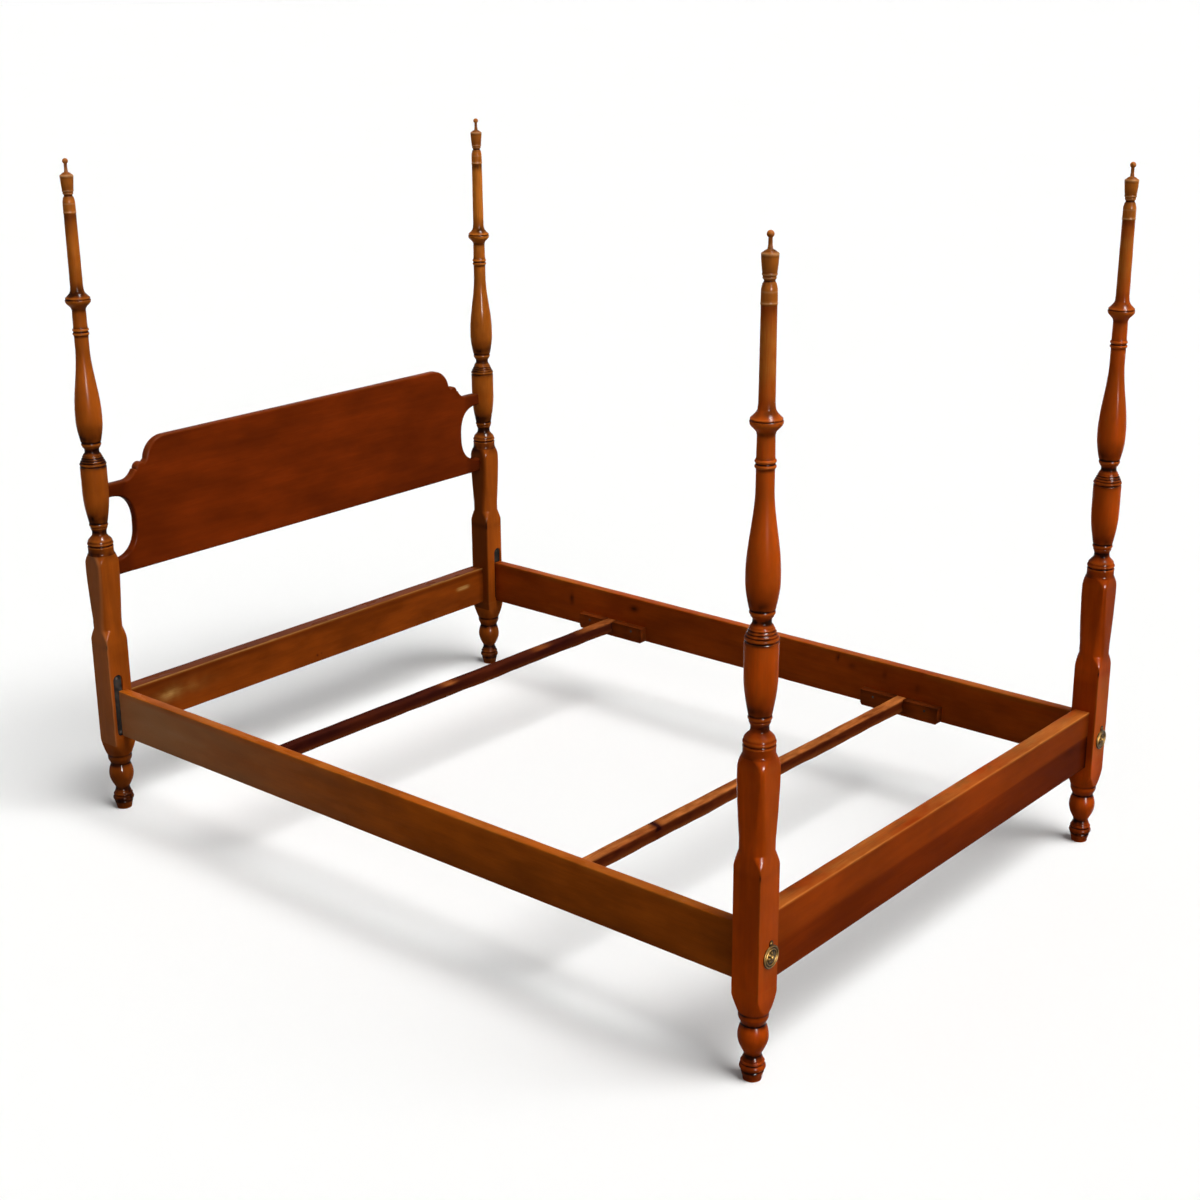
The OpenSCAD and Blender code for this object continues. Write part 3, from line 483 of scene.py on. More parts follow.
def prism(outline, place, depth, front, back, steps):
    """A slab between two depths whose outline's edges are rounded in steps, by a radius in
    front and one behind; place maps (u, v, depth) to a point"""
    pts = np.asarray(outline, float)
    nxt, prv = np.roll(pts, -1, 0), np.roll(pts, 1, 0)
    e1, e2 = pts - prv, nxt - pts
    e1 /= np.linalg.norm(e1, axis=1)[:, None]
    e2 /= np.linalg.norm(e2, axis=1)[:, None]
    turn = e1 + e2
    turn /= np.linalg.norm(turn, axis=1)[:, None]
    area = np.sum(pts[:, 0] * nxt[:, 1] - nxt[:, 0] * pts[:, 1])
    inward = np.stack([-turn[:, 1], turn[:, 0]], -1) * (1 if area > 0 else -1)
    inward /= np.clip(np.sum(e1 * turn, 1), 0.5, 1)[:, None]
    d0, d1 = depth
    turns = [math.pi / 2 * k / steps for k in range(steps + 1)]
    rings = [(front + LIP, d0)]
    rings += [(front * (1 - math.sin(a)), d0 + front * (1 - math.cos(a))) for a in turns]
    rings += [(back * (1 - math.sin(a)), d1 - back * (1 - math.cos(a))) for a in turns[::-1]]
    rings.append((back + LIP, d1))
    verts = [place(u, v, d) for inset, d in rings for u, v in pts + inward * inset]
    return np.array(verts), tube(len(rings), len(pts))


def bar(stations, section, place):
    """A bar lofted through sections; section(s) gives a closed ring of (u, v) at station s"""
    rings = [section(s) for s in stations]
    verts = [place(s, u, v) for s, ring in zip(stations, rings) for u, v in ring]
    return np.array(verts), tube(len(rings), len(rings[0]))


def worn_section(w, h, radii, across=3, up=8, arc_steps=4):
    """A ring round a rectangle from (0, 0) to (w, h), each corner rounded by its own radius"""
    ring = []
    corners = [((0, 0), 180), ((w, 0), 270), ((w, h), 0), ((0, h), 90)]
    for i, ((cx, cy), start) in enumerate(corners):
        r = radii[i]
        middle = (cx + (r if cx == 0 else -r), cy + (r if cy == 0 else -r))
        ring += arc(middle, r, start, start + 90, arc_steps)
        ax, ay = ring[-1]
        bx, by = corners[(i + 1) % 4][0]
        next_r = radii[(i + 1) % 4]
        if abs(bx - cx) > abs(by - cy):
            bx, by, n = bx - math.copysign(next_r, bx - cx), ay, across
        else:
            bx, by, n = ax, by - math.copysign(next_r, by - cy), up
        ring += [(ax + (bx - ax) * k / n, ay + (by - ay) * k / n) for k in range(1, n)]
    return ring


def points_of(mesh):
    """A mesh's points in millimetres"""
    flat = np.empty(len(mesh.vertices) * 3)
    mesh.vertices.foreach_get("co", flat)
    return flat.reshape(-1, 3) / MM


# Paint: one number a point, which the materials read; "stain" carries stain and painted shade,
# "worn" carries wear, painted highlights and painted light

# Painted shade on a hole's walls
HOLE_SHADE = 0.85


def paint(piece, name, values):
    """Writes one number a point, from 0 to 1"""
    mesh = piece.data
    layer = mesh.attributes.get(name) or mesh.attributes.new(name, "FLOAT", "POINT")
    layer.data.foreach_set("value", np.clip(np.asarray(values, float), 0, 1).ravel())


def ripple(pts, scale, seed=0.0, octaves=3):
    """Smooth noise from -1 to 1 at points in millimetres; scale is the size of a patch"""
    sx, sy, sz = scale
    return np.array([noise.fractal(Vector((x / sx + seed, y / sy - seed, z / sz + 0.5 * seed)),
                                   1.0, 2.0, octaves) for x, y, z in pts])


def bump_at(x, centre, width):
    """1 at a place, fading to nought on both sides"""
    return np.exp(-((x - centre) / width) ** 2)


def bands(x, rows):
    """The sum of soft bands, each a place, a half width and a strength"""
    return sum(share * bump_at(x, place, half) for place, half, share in rows)


def spot(u, v, middle, reach, power=2):
    """1 at a place on a face, fading to nought all round"""
    return np.exp(-((u - middle[0]) / reach[0]) ** power - ((v - middle[1]) / reach[1]) ** power)


def rise(x, start, width):
    """0 up to a place and 1 from a width past it; a width below nought falls instead"""
    return np.clip((x - start) / width, 0, 1)


def on_plane(x, plane, fade=1.5):
    """1 on a plane, fading to nought within a short way"""
    return np.clip(1 - np.abs(x - plane) / fade, 0, 1)


# Cuts, and the hand-over to the frame

def cut(piece, cutters, sharp=32):
    """Cuts solids out of a piece"""
    for cutter in cutters:
        tool = piece.modifiers.new("cut", "BOOLEAN")
        tool.operation = "DIFFERENCE"
        tool.solver = "EXACT"
        tool.object = cutter
    graph = bpy.context.evaluated_depsgraph_get()
    mesh = bpy.data.meshes.new_from_object(piece.evaluated_get(graph))
    old = piece.data
    piece.modifiers.clear()
    piece.data = mesh
    mesh.name = piece.name
    bpy.data.meshes.remove(old)
    for cutter in cutters:
        bpy.data.objects.remove(cutter)
    shade(mesh, sharp)


def slot_cutter(x, z_from, z_to, width, y_from, y_to, material, n=14):
    """A round-ended bar through a post's face"""
    r = width / 2
    outline = arc((x, z_from + r), r, 180, 360, n) + arc((x, z_to - r), r, 0, 180, n)
    verts = [(u, y, v) for y in (y_from, y_to) for u, v in outline]
    made = build("slot_cutter", (verts, tube(2, len(outline))), material, turn_out=True)
    # Its walls are painted dark as shade
    paint(made, "stain", np.full(len(verts), HOLE_SHADE))
    return made


def round_cutter(centre, axis, r, length, material, n=40):
    """A round hole from a point along an axis"""
    base, axis = Vector(centre), Vector(axis)
    side = axis.orthogonal().normalized()
    other = axis.cross(side)
    ring = [side * (r * math.cos(2 * math.pi * k / n)) + other * (r * math.sin(2 * math.pi * k / n))
            for k in range(n)]
    verts = [tuple(base + p + axis * along) for along in (0, length) for p in ring]
    made = build("hole_cutter", (verts, tube(2, n)), material)
    # Its walls are painted dark as shade
    paint(made, "stain", np.full(len(verts), HOLE_SHADE))
    return made


def sliced(piece, axis, places):
    """Adds edges across a piece at planes along an axis, so that wide faces can carry paint"""
    normal = [float(i == axis) for i in range(3)]

    def slice_all(work):
        for place in places:
            bmesh.ops.bisect_plane(work, geom=work.verts[:] + work.edges[:] + work.faces[:],
                                   dist=1e-6, plane_co=[n * place * MM for n in normal],
                                   plane_no=normal)

    reworked(piece, slice_all)


def finish_piece(piece, body, slot_name, *nodes):
    """Hands a piece to its body and the nodes that it stands for; slot_name is not used"""
    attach(piece, body)
    if nodes:
        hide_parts(*nodes)
    return piece


# The posts

# Angles round a post: close together at the arrises, wider on the flats
OCTANT = [0, 6, 12, 18, 24, 30, 35, 39, 41.6, 43.4]
POST_ANGLES = np.radians([q * 90 + a for q in range(4)
                          for a in OCTANT + [45] + [90 - a for a in OCTANT[:0:-1]]])
# Heights that are painted darker: (height, half width, strength)
DARK_BANDS = [
    (6, 5, 0.35), (21, 3, 0.3), (27, 24, 0.62), (55, 12, 0.4), (95, 32, 0.24), (125, 7, 0.5),
    (137, 9, 0.25), (151, 3, 0.6), (162, 20, 0.25), (451, 9, 0.25), (692, 16, 0.6),
    (712.8, 2, 0.3), (722.3, 2.5, 0.3), (738, 18, 0.58), (750, 7, 0.3), (771, 3, 0.5),
    (780, 14, 0.6), (800, 18, 0.25), (913, 2.5, 0.6), (924.5, 1.6, 0.3), (930.5, 1.6, 0.3),
    (936, 1.6, 0.3), (932, 17, 0.66), (954, 7, 0.55), (963, 3, 0.3), (976, 3, 0.7),
    (986, 12, 0.5), (1004, 18, 0.3), (1190, 30, 0.15), (1237, 2.5, 0.5), (1246.8, 1.8, 0.6),
    (1257, 3, 0.4), (1301, 6, 0.5), (1325.5, 2, 0.7), (1337, 9, 0.55), (1352, 14, 0.45),
    (1390, 22, 0.15), (1500, 20, 0.2), (1524, 14, 0.6)]
# How strongly the bands and grooves show
DARK_SHARE = {"head": 1.5, "foot": 1.1}
# How pale each stretch of a post is: (height, share of paler wood)
PALE = [(0, 0.0), (690, 0.0), (780, 0.06), (880, 0.1), (1000, 0.1), (1180, 0.15), (1300, 0.22),
        (1360, 0.3), (1400, 0.7), (1480, 0.7), (1527, 0.35)]
# Faces of single blocks painted darker or paler, as painted shade and painted light:
# (face looks along this axis, from height, to height, painted shade, painted light)
FACE_LIGHT_AND_SHADE = {
    "post_foot_right": [(0, 215, 450, 0.3, 0.0), (1, 470, 690, 0.32, 0.0),
                        (1, 215, 450, 0.0, 0.22)],
    "post_foot_left": [(1, 215, 690, 0.0, 0.08)],
    "post_head_left": [(1, 215, 450, 0.2, 0.0)],
}
# The nose where a block's arris meets its shoulder
NOSE_Z = 456
# How much paler each post's turning is painted, against the others
LIT = {"post_head_right": 2.4, "post_head_left": 0.55}
# The head posts' outer faces: a painted tan reflection on the left, painted shade on the right
OUTER_SHEEN = {"left": 0.26, "right": 0.0}
OUTER_SHADE = {"left": 0.0, "right": 0.52}


def groove_depth(radii, heights, span):
    """How far each height of a turned form lies under both of its neighbours"""
    deep = np.zeros_like(radii)
    for i, z in enumerate(heights):
        below = radii[(heights <= z) & (heights > z - span)].max()
        above = radii[(heights >= z) & (heights < z + span)].max()
        deep[i] = min(below, above) - radii[i]
    return deep


def groove_stain_and_shade(radii, heights):
    """Stain and painted shade in narrow grooves, and less painted shade in wide hollows"""
    return np.clip(groove_depth(radii, heights, 4.5) / 1.6, 0, 0.55) \
        + np.clip(groove_depth(radii, heights, 16) / 22, 0, 0.3)


def ring_pride(radii, heights, span=3.0):
    """How far each height of a turned form stands over the line through its neighbours"""
    low = np.interp(heights - span, heights, radii)
    high = np.interp(heights + span, heights, radii)
    return np.maximum(radii - (low + high) / 2, 0)


def paint_post(post, end, side, verts, radii, heights):
    """Stain and painted shade in the grooves, darker bands, painted highlights on rings, paler
    arrises, and painted light and shade on single faces
    """
    name = "post_%s_%s" % (end, side)
    x, y = SIDES[side] * POST_X, END_Y[end]
    n = len(POST_ANGLES)
    # The last two rings are the bore's, which is dark
    deep = np.repeat(np.append(groove_stain_and_shade(radii, heights), [1, 1]), n)
    proud = np.repeat(np.append(ring_pride(radii, heights), [0, 0]), n)
    z = verts[:, 2]
    inward = np.array([x, y]) - verts[:, :2]
    mottle = ripple(verts, (26, 26, 40), seed=x / 100 + y / 300)
    in_block = (z > BLOCK_Z - 20) & (z < BLOCKS_TOP)
    corner = rise(np.abs(inward).min(1), 28.6, 2) * in_block
    stain = (deep + bands(z, DARK_BANDS)) * DARK_SHARE[end]
    stain = np.where(in_block, stain * 0.5, stain) * (0.85 + 0.5 * mottle)
    # Painted highlights on proud rings, with paler arrises and paler stretches of the turning
    worn = np.clip(proud * 0.3, 0, 0.2) * (z > 190) \
        + 0.12 * corner * np.clip(0.6 + ripple(verts, (20, 20, 60), seed=3.1), 0, 1) \
        + LIT.get(name, 1.0) * np.interp(z, *zip(*PALE)) * (1 + 0.5 * mottle)
    # Painted shade and painted light on single faces of the blocks
    for axis, low, high, painted_shade, paler in FACE_LIGHT_AND_SHADE.get(name, []):
        face = rise(inward[:, axis], 27, 3) * rise(z, low, 25) * rise(z, high, -25)
        stain = stain + painted_shade * face
        worn = worn + paler * face
    # The arrises are painted a little darker, and their noses darker still
    stain = stain + 0.9 * corner * bump_at(z, NOSE_Z, 8) + 0.12 * corner
    # A painted tan reflection on the left head post's outer faces, painted shade on the right one's
    if end == "head":
        outer = rise(inward[:, 0], 26, 4) * in_block
        paint(post, "bloom", OUTER_SHEEN[side] * outer)
        stain = stain + OUTER_SHADE[side] * outer
    paint(post, "stain", stain)
    paint(post, "worn", worn * (1 - 0.85 * np.clip(stain, 0, 1)))


def make_post(end, side, sizes, material):
    name = "post_%s_%s" % (end, side)
    x, y = SIDES[side] * POST_X, END_Y[end]
    radii, heights = turned(POST, PAD_R)
    # The pad under the foot has a small bevel
    radii = np.concatenate([[PAD_R - 2], radii])
    heights = np.concatenate([[0, 0.6], heights[1:]])
    verts, faces = lathe(np.append(radii, [DOWEL_R + DOWEL_PLAY] * 2),
                         np.append(heights, [POST_H, POST_H - DOWEL_L - 1]), POST_ANGLES,
                         (HALF_STOCK, sizes.arris / MM, sizes.blend / MM))
    verts = verts + np.array([x, y, 0])
    post = build("turned_" + name, (verts, faces), material)
    paint_post(post, end, side, verts, radii, heights)
    face_y = y - HALF_STOCK
    if end == "head":
        slot_x, (low, high) = SLOT_X[SIDES[side]], SLOT_Z
        cut(post, [
            slot_cutter(slot_x, low, high, SLOT_W, face_y - CUT_START, face_y + SLOT_D, material),
            slot_cutter(slot_x, low + SOCKET_IN, high - SOCKET_IN, SOCKET_W, face_y + CUT_START,
                        face_y + SOCKET_D, material)])
    else:
        cut(post, [round_cutter((RAIL_X[SIDES[side]], face_y - CUT_START, BOLT_Z), (0, 1, 0),
                                BOLT_RECESS_R, CUT_START + BOLT_RECESS_D, material)])
    return finish_piece(post, "frame", "post_wood", name)


# Heights on a finial, from its foot: (height, half width, strength)
FINIAL_STAIN = [(40, 5, 0.4), (94, 5, 0.5), (60, 8, 0.2), (0, 1.2, 0.55), (110, 8, 0.35),
                (84, 2, 0.25)]
# Rims that carry wear and a painted highlight
FINIAL_RIMS = [(4.5, 1.2, 1), (88, 2.2, 1), (53, 1.2, 1), (47, 1.2, 0.6), (24, 1.5, 0.5)]


def make_finial(end, side, material):
    name = "finial_%s_%s" % (end, side)
    x, y = SIDES[side] * POST_X, END_Y[end]
    radii, heights = turned(FINIAL, FINIAL_R, fine=0.8, coarse=4)
    # The ball, from its neck to just short of its top
    turn = np.linspace(math.asin(BALL_NECK_R / BALL_R), math.pi - 0.06, 18)
    ball_z = heights[-1] - BALL_R * np.cos(turn)
    keep = heights < ball_z[0] - 0.2
    radii = np.concatenate([[DOWEL_R - 1, DOWEL_R, DOWEL_R], radii[keep], BALL_R * np.sin(turn)])
    heights = np.concatenate([[-DOWEL_L, -DOWEL_L + 1, 0], heights[keep], ball_z])
    angles = np.linspace(0, 2 * math.pi, 56, endpoint=False)
    verts, faces = lathe(radii, heights, angles)
    finial = build("turned_" + name, (verts + np.array([x, y, POST_H]), faces), material, 40)
    deep = np.repeat(np.where(heights >= 0, groove_depth(radii, heights, 4), 0), len(angles))
    z = verts[:, 2]
    mottle = ripple(verts + np.array([x, y, 0]), (14, 14, 20), seed=y / 200)
    stain = np.clip(deep / 2, 0, 0.7) + bands(z, FINIAL_STAIN)
    paint(finial, "stain", stain * (1.25 + 0.5 * mottle))
    # Its rims get wear and painted highlights
    paint(finial, "worn", 0.6 * bands(z, FINIAL_RIMS) * (0.8 + 0.4 * mottle))
    return finish_piece(finial, name, "finial_wood", name)


# The headboard

PANEL_Z, PANEL_H, PANEL_T = 625, 330, 22
PANEL_SIDE, PANEL_TIP = 663, 683
ARM_TOP, UPPER_ARM, LOWER_ARM = 236, 33, 39
CREST_R, LOBE_R, SWEEP_R = 61, 16, 38
# The sweep's middle lies this far inside the board's side and starts at this angle
SWEEP_IN, SWEEP_START = 47, 205
# From the sweep's start back to the lobe's middle
LOBE_BACK = 21
# The opening beside a post: half width, and how far its ellipse leans to a square
HOLE_REACH, HOLE_POWER = 74, 0.8


def board_outline():
    """The headboard's outline: a level top and, on each side, a rounded corner, a lobe, a
    hollow sweep and two arms"""
    sweep_c = (PANEL_SIDE - SWEEP_IN, ARM_TOP + SWEEP_R)
    start_x, start_z = arc(sweep_c, SWEEP_R, SWEEP_START, SWEEP_START, 1)[0]
    lobe_c = (start_x - LOBE_BACK, start_z)
    crest_c = (lobe_c[0] - LOBE_R - CREST_R - 1, PANEL_H - CREST_R)
    hole_h = (ARM_TOP - UPPER_ARM - LOWER_ARM) / 2
    hole = [(PANEL_SIDE + 1 + HOLE_REACH * math.copysign(abs(c) ** HOLE_POWER, c),
             LOWER_ARM + hole_h + hole_h * math.copysign(abs(s) ** HOLE_POWER, s))
            for c, s in arc((0, 0), 1, 90, 270, 32)]
    half = [(0, PANEL_H)] + arc(crest_c, CREST_R, 90, 8, 22) + arc(lobe_c, LOBE_R, 130, 0, 14) \
        + arc(sweep_c, SWEEP_R, SWEEP_START, 270, 14) \
        + [(PANEL_TIP, ARM_TOP), (PANEL_TIP, ARM_TOP - UPPER_ARM)] + hole \
        + [(PANEL_TIP, LOWER_ARM), (PANEL_TIP, 0)] + [(x, 0) for x in range(660, 0, -60)]
    full = half + [(0, 0)] + [(-x, z) for x, z in half[:0:-1]]
    kept = full[:1]
    for p in full[1:]:
        if math.dist(p, kept[-1]) > 0.9:
            kept.append(p)
    return kept


def make_headboard(sizes, material):
    edge = sizes.panel_edge / MM

    def place(u, v, d):
        return (u, d, PANEL_Z + v)

    faces_y = (HEAD_Y - PANEL_T / 2, HEAD_Y + PANEL_T / 2)
    board = build("shaped_headboard", prism(board_outline(), place, faces_y, edge, edge * 0.6, 5),
                  material, 40, turn_out=True)
    sliced(board, 0, np.linspace(-650, 650, 53))
    sliced(board, 2, np.linspace(PANEL_Z + 12, PANEL_Z + PANEL_H - 12, 16))
    shade(board.data, 40)
    pts = points_of(board.data)
    x, y, z = pts.T
    rim = (np.abs(y - HEAD_Y) < PANEL_T / 2 - LIP).astype(float)
    # A faint painted highlight along the upper rim
    paint(board, "worn", rim * 0.05 * rise(z - PANEL_Z, 160, 80)
          * (1 + ripple(pts, (60, 30, 30), seed=2.0)))
    # Cloudy stain on the flats, darker in the low right corner and at the left end
    clouds = np.clip(ripple(pts, (260, 90, 60), seed=4.4), 0, 1) \
        + 0.6 * np.clip(ripple(pts, (130, 50, 40), seed=9.3), 0, 1)
    corner = rise(x, 150, 420) * rise(z, 850, -150)
    flats = 0.28 * clouds + 0.22 * corner + 0.14 * rise(x, -400, -200)
    paint(board, "stain", rim * 0.25 + 0.3 * (np.abs(x) > 610) + (1 - rim) * flats)
    return finish_piece(board, "frame", "panel_wood", "headboard")


# The rails

# Dark knots and cross marks on the right rail's inner face: (y, height, length, height, strength)
RIGHT_RAIL_MARKS = [
    (666, 72, 8, 16, 0.6), (428, 90, 15, 6, 0.75), (500, 74, 34, 22, 0.2), (-274, 104, 5, 8, 0.65),
    (-319, 88, 13, 7, 0.5), (-160, 96, 18, 5, 0.35), (-420, 90, 7, 12, 0.4), (-520, 72, 6, 10, 0.3),
    (80, 66, 44, 5, 0.2), (-760, 84, 30, 12, 0.2), (240, 84, 60, 8, 0.2)]
# Pin knots on the head rail: (x, height, half width, strength)
HEAD_RAIL_KNOTS = [(-18, 20, (3.5, 3), 0.9), (-2, 22, (2.4, 2.4), 0.6)]


def make_rail(name, stations, section_size, wear_at, place, edge, material, **steps):
    """A planed rail whose upper edges have worn unevenly; wear_at(s) says where, from -1 to 1"""
    wide, high = section_size

    def section(s):
        wear = wear_at(s)
        radii = [edge, edge, edge * (1 + wear), edge * (1 - wear)]
        return worn_section(wide, high, radii, **steps)

    return build("planed_" + name, bar(stations, section, place), material, 30, turn_out=True)


def side_rail(side_name, sizes, material):
    side = SIDES[side_name]
    rail_x = RAIL_X[side]
    y0, y1 = FOOT_Y + HALF_STOCK - SIDE_RAIL_INTO, HEAD_Y - HALF_STOCK

    def wear_at(s):
        return 0.5 * noise.noise(Vector((s / 90, side * 7.0, 0.3)))

    def place(s, u, v):
        return (rail_x - RAIL_T / 2 + u, s, RAIL_Z + v)

    rail = make_rail("side_rail_" + side_name, np.linspace(y0, y1, 330), (RAIL_T, RAIL_H),
                     wear_at, place, sizes.rail_edge / MM, material)
    nut_hole = (rail_x + side * NUT_PAST, FOOT_Y + HALF_STOCK + NUT_Y, BOLT_Z)
    cut(rail, [round_cutter(nut_hole, (-side, 0, 0), NUT_R, NUT_PAST + RAIL_T / 2 + CUT_START,
                            material)], 30)
    pts = points_of(rail.data)
    x, y, z = pts.T
    up = z - RAIL_Z
    slow = ripple(pts, (60, 260, 60), seed=side * 2.3)
    quick = ripple(pts, (22, 45, 22), seed=side * 5.1)
    # The top is rubbed in patches and its arrises are pale; the ends and lower edge are dark
    upper = rise(up, RAIL_H - 4.5, 3)
    inner = on_plane(x, rail_x - side * RAIL_T / 2)
    arris = bump_at(up, RAIL_H - 1.5, 2.0) * (np.abs(np.abs(x - rail_x) - RAIL_T / 2) < 2.5)
    worn = upper * (0.13 + 0.3 * slow + 0.25 * quick) + 0.16 * arris * (1 + slow)
    ends = bump_at(y, y1, 14) + bump_at(y, y0 + SIDE_RAIL_INTO, 18)
    stain = 0.18 * np.clip(slow, 0, 1) + 0.25 * bump_at(up, 0, 4) + 0.35 * ends
    if side == RIGHT:
        for mark_y, mark_z, long, high, share in RIGHT_RAIL_MARKS:
            stain = stain + 1.3 * inner * share * spot(y, up, (mark_y, mark_z), (long, high))
        stain = stain + inner * 0.22 * bump_at(up, RAIL_H, 12)
    else:
        # Its outer face carries a painted tan reflection, stronger towards the head
        cloud = rise(y, -150, 900) ** 1.5 * (0.85 + 0.3 * slow)
        paint(rail, "bloom", (1 - inner) * (1 - upper) * 0.75 * cloud)
    paint(rail, "stain", stain)
    paint(rail, "worn", worn)
    return finish_piece(rail, "frame", "rail_wood", "side_rail_" + side_name)


def end_rail(name, sizes, material):
    y_middle, height = END_RAILS[name]
    front = y_middle - END_RAIL_T / 2

    def wear_at(s):
        return 0.45 * noise.noise(Vector((s / 80, y_middle / 100, 4.3)))

    def place(s, u, v):
        return (s, front + u, RAIL_Z + v)

    reach = END_RAIL_HALF + END_RAIL_INTO
    rail = make_rail(name, np.linspace(-reach, reach, 260), (END_RAIL_T, height), wear_at, place,
                     sizes.rail_edge / MM, material, across=8, up=30)
    pts = points_of(rail.data)
    x, y, z = pts.T
    up = z - RAIL_Z
    slow = ripple(pts, (240, 60, 60), seed=y_middle / 300)
    quick = ripple(pts, (34, 16, 20), seed=y_middle / 170)
    on_top = rise(up, height - 4, 3)
    on_front = on_plane(y, front)
    near_front = np.abs(y - front) < 2.4
    ends = bump_at(np.abs(x), END_RAIL_HALF, 14)
    if name == "foot_rail":
        # Its front has a painted reflection, paler above a line half way up and darker below it,
        # crisp at the right and soft at the left; a painted highlight runs along its upper front
        # arris, and its top is rubbed in blotches towards the back
        blur = 1.0 + 2.5 * rise(-x, 0, END_RAIL_HALF)
        below = 1 / (1 + np.exp((up - (0.53 * height + 0.01 * x)) / blur))
        blotches = np.clip(quick + 0.25 * slow + 0.15 * np.sin(x / 47), 0, 1) ** 0.7
        stain = on_front * (0.42 * below + 0.16 * slow + 0.25 * rise(x, 330, 250)) + 0.3 * ends \
            + on_top * blotches * 0.85 * rise(y - front, 12, 8)
        worn = on_top * (0.26 + 0.3 * slow + 0.1 * quick) + 0.05 * on_front * (1 - below) \
            + 0.3 * bump_at(up, height - 1.2, 1.6) * near_front
    else:
        # A dark line runs under its upper edge, with pin knots low in the middle, a painted tan
        # reflection near its left end, and a square pale patch at its right end
        stain = on_top * (0.5 + 0.2 * slow) + 0.35 * ends \
            + on_front * (0.35 * bump_at(up, height - 12, 7) + 0.2 * np.clip(slow, 0, 1))
        for mark_x, mark_z, reach, share in HEAD_RAIL_KNOTS:
            stain = stain + on_front * share * spot(x, up, (mark_x, mark_z), reach)
        painted_reflection = spot(x, up, (-535, 56), (26, 13)) + 0.35 * spot(x, up, (-500, 60), (90, 22))
        worn = 0.5 * bump_at(up, height - 1.2, 1.8) * near_front * (1 + 0.5 * slow) \
            + on_front * 0.5 * painted_reflection * (1 + 0.8 * quick) \
            + on_front * 0.95 * spot(x, up, (575, 68), (25, 6), 4)
    paint(rail, "stain", stain)
    paint(rail, "worn", worn)
    return finish_piece(rail, "frame", "rail_wood", name)


# Slats and cleats

# Each slat's own place in the noise that dents it
SLAT_SEED = {"head": 1.7, "foot": 6.4}


def make_slat(end, sizes, material):
    waste = sizes.slat_waste / MM
    y_mid, seed = SLAT_Y[end], SLAT_SEED[end]
    (x0, x1), (z0, z1) = SLAT_X, SLAT_Z
    h = z1 - z0
    stations = np.concatenate([[x0], np.linspace(x0 + 1.2, x1 - 1.2, 300), [x1]])

    def dent(s, k, length):
        wave = noise.noise(Vector((s / length, k * 3.1 + seed, seed)))
        return waste * max(0.0, 0.5 + 0.9 * wave)

    def section(s):
        # The ends stay full, because they lie in the notches
        free = min(1.0, max(0.0, (s - x0 - 40) / 60), max(0.0, (x1 - 40 - s) / 60))
        tip = 1.2 if s in (x0, x1) else 0.0
        front, back = dent(s, 1, 55) * free + tip, dent(s, 2, 90) * free + tip
        low = dent(s, 3, 120) * free * 0.7
        top_front = 4.6 + 5.5 * noise.noise(Vector((s / 62, seed, 8.1)))
        radii = [2.0, 2.0, 1.6, min(max(top_front, 1.5), 8.0)]
        ring = worn_section(SLAT_W - front - back, h - low - tip, radii, across=5, up=7)
        return [(front + u, low + v) for u, v in ring]

    turn = math.atan2(ASKEW, SLAT_SPAN)
    pivot = x1 - SLAT_PIVOT

    def place(s, u, v):
        along, across = s - pivot, u - SLAT_W / 2
        return (pivot + along * math.cos(turn) + across * math.sin(turn),
                y_mid - along * math.sin(turn) + across * math.cos(turn), z0 + v)

    slat = build("rough_slat_" + end, bar(stations, section, place), material, 35, turn_out=True)
    pts = points_of(slat.data)
    x, y, z = pts.T
    back = y + (x - pivot) * math.tan(turn) - y_mid
    up = z - z0
    slow = ripple(pts, (160, 30, 30), seed=seed)
    quick = ripple(pts, (30, 9, 9), seed=seed + 3)
    on_top = rise(up, h - 5, 3)
    on_front = np.clip(1 - (back + SLAT_W / 2) / 4, 0, 1) * (1 - on_top)
    upper = 1 / (1 + np.exp(-(up - 11 - 3 * slow) / 1.5))
    if end == "foot":
        # One dark mark crosses it askew, and its right end is paler
        mark, pale_end = -324 + 0.15 * back, rise(x, 560, 60)
        worn = on_top * (0.4 + 0.35 * slow + 0.3 * quick) + 0.16 * on_front * (1 - upper)
        worn = worn * (1 - bump_at(x, mark, 14)) + 0.35 * pale_end * on_top
        stain = on_front * upper * (0.55 + 0.3 * quick) \
            + on_top * np.clip(0.25 + 0.6 * quick, 0, 1) * (back > 0)
        stain = stain * (1 - 0.8 * pale_end) + 1.5 * bump_at(x, mark, 8) * (up > 20)
    else:
        # It is dark but for a few rubbed patches on its top
        patches = bump_at(x, 14, 24) + 0.6 * bump_at(x, 380, 30) + rise(x, 520, 80)
        worn = on_top * 0.4 * patches * (0.8 + 0.5 * quick) + 0.06 * on_front * (1 - upper)
        stain = (0.72 + 0.2 * slow) * (1 - on_top * 0.9 * np.clip(patches, 0, 1)) \
            * (0.7 + 0.3 * upper)
    paint(slat, "stain", stain)
    paint(slat, "worn", worn)
    return finish_piece(slat, "slat_" + end, "slat_wood", "slat_" + end)


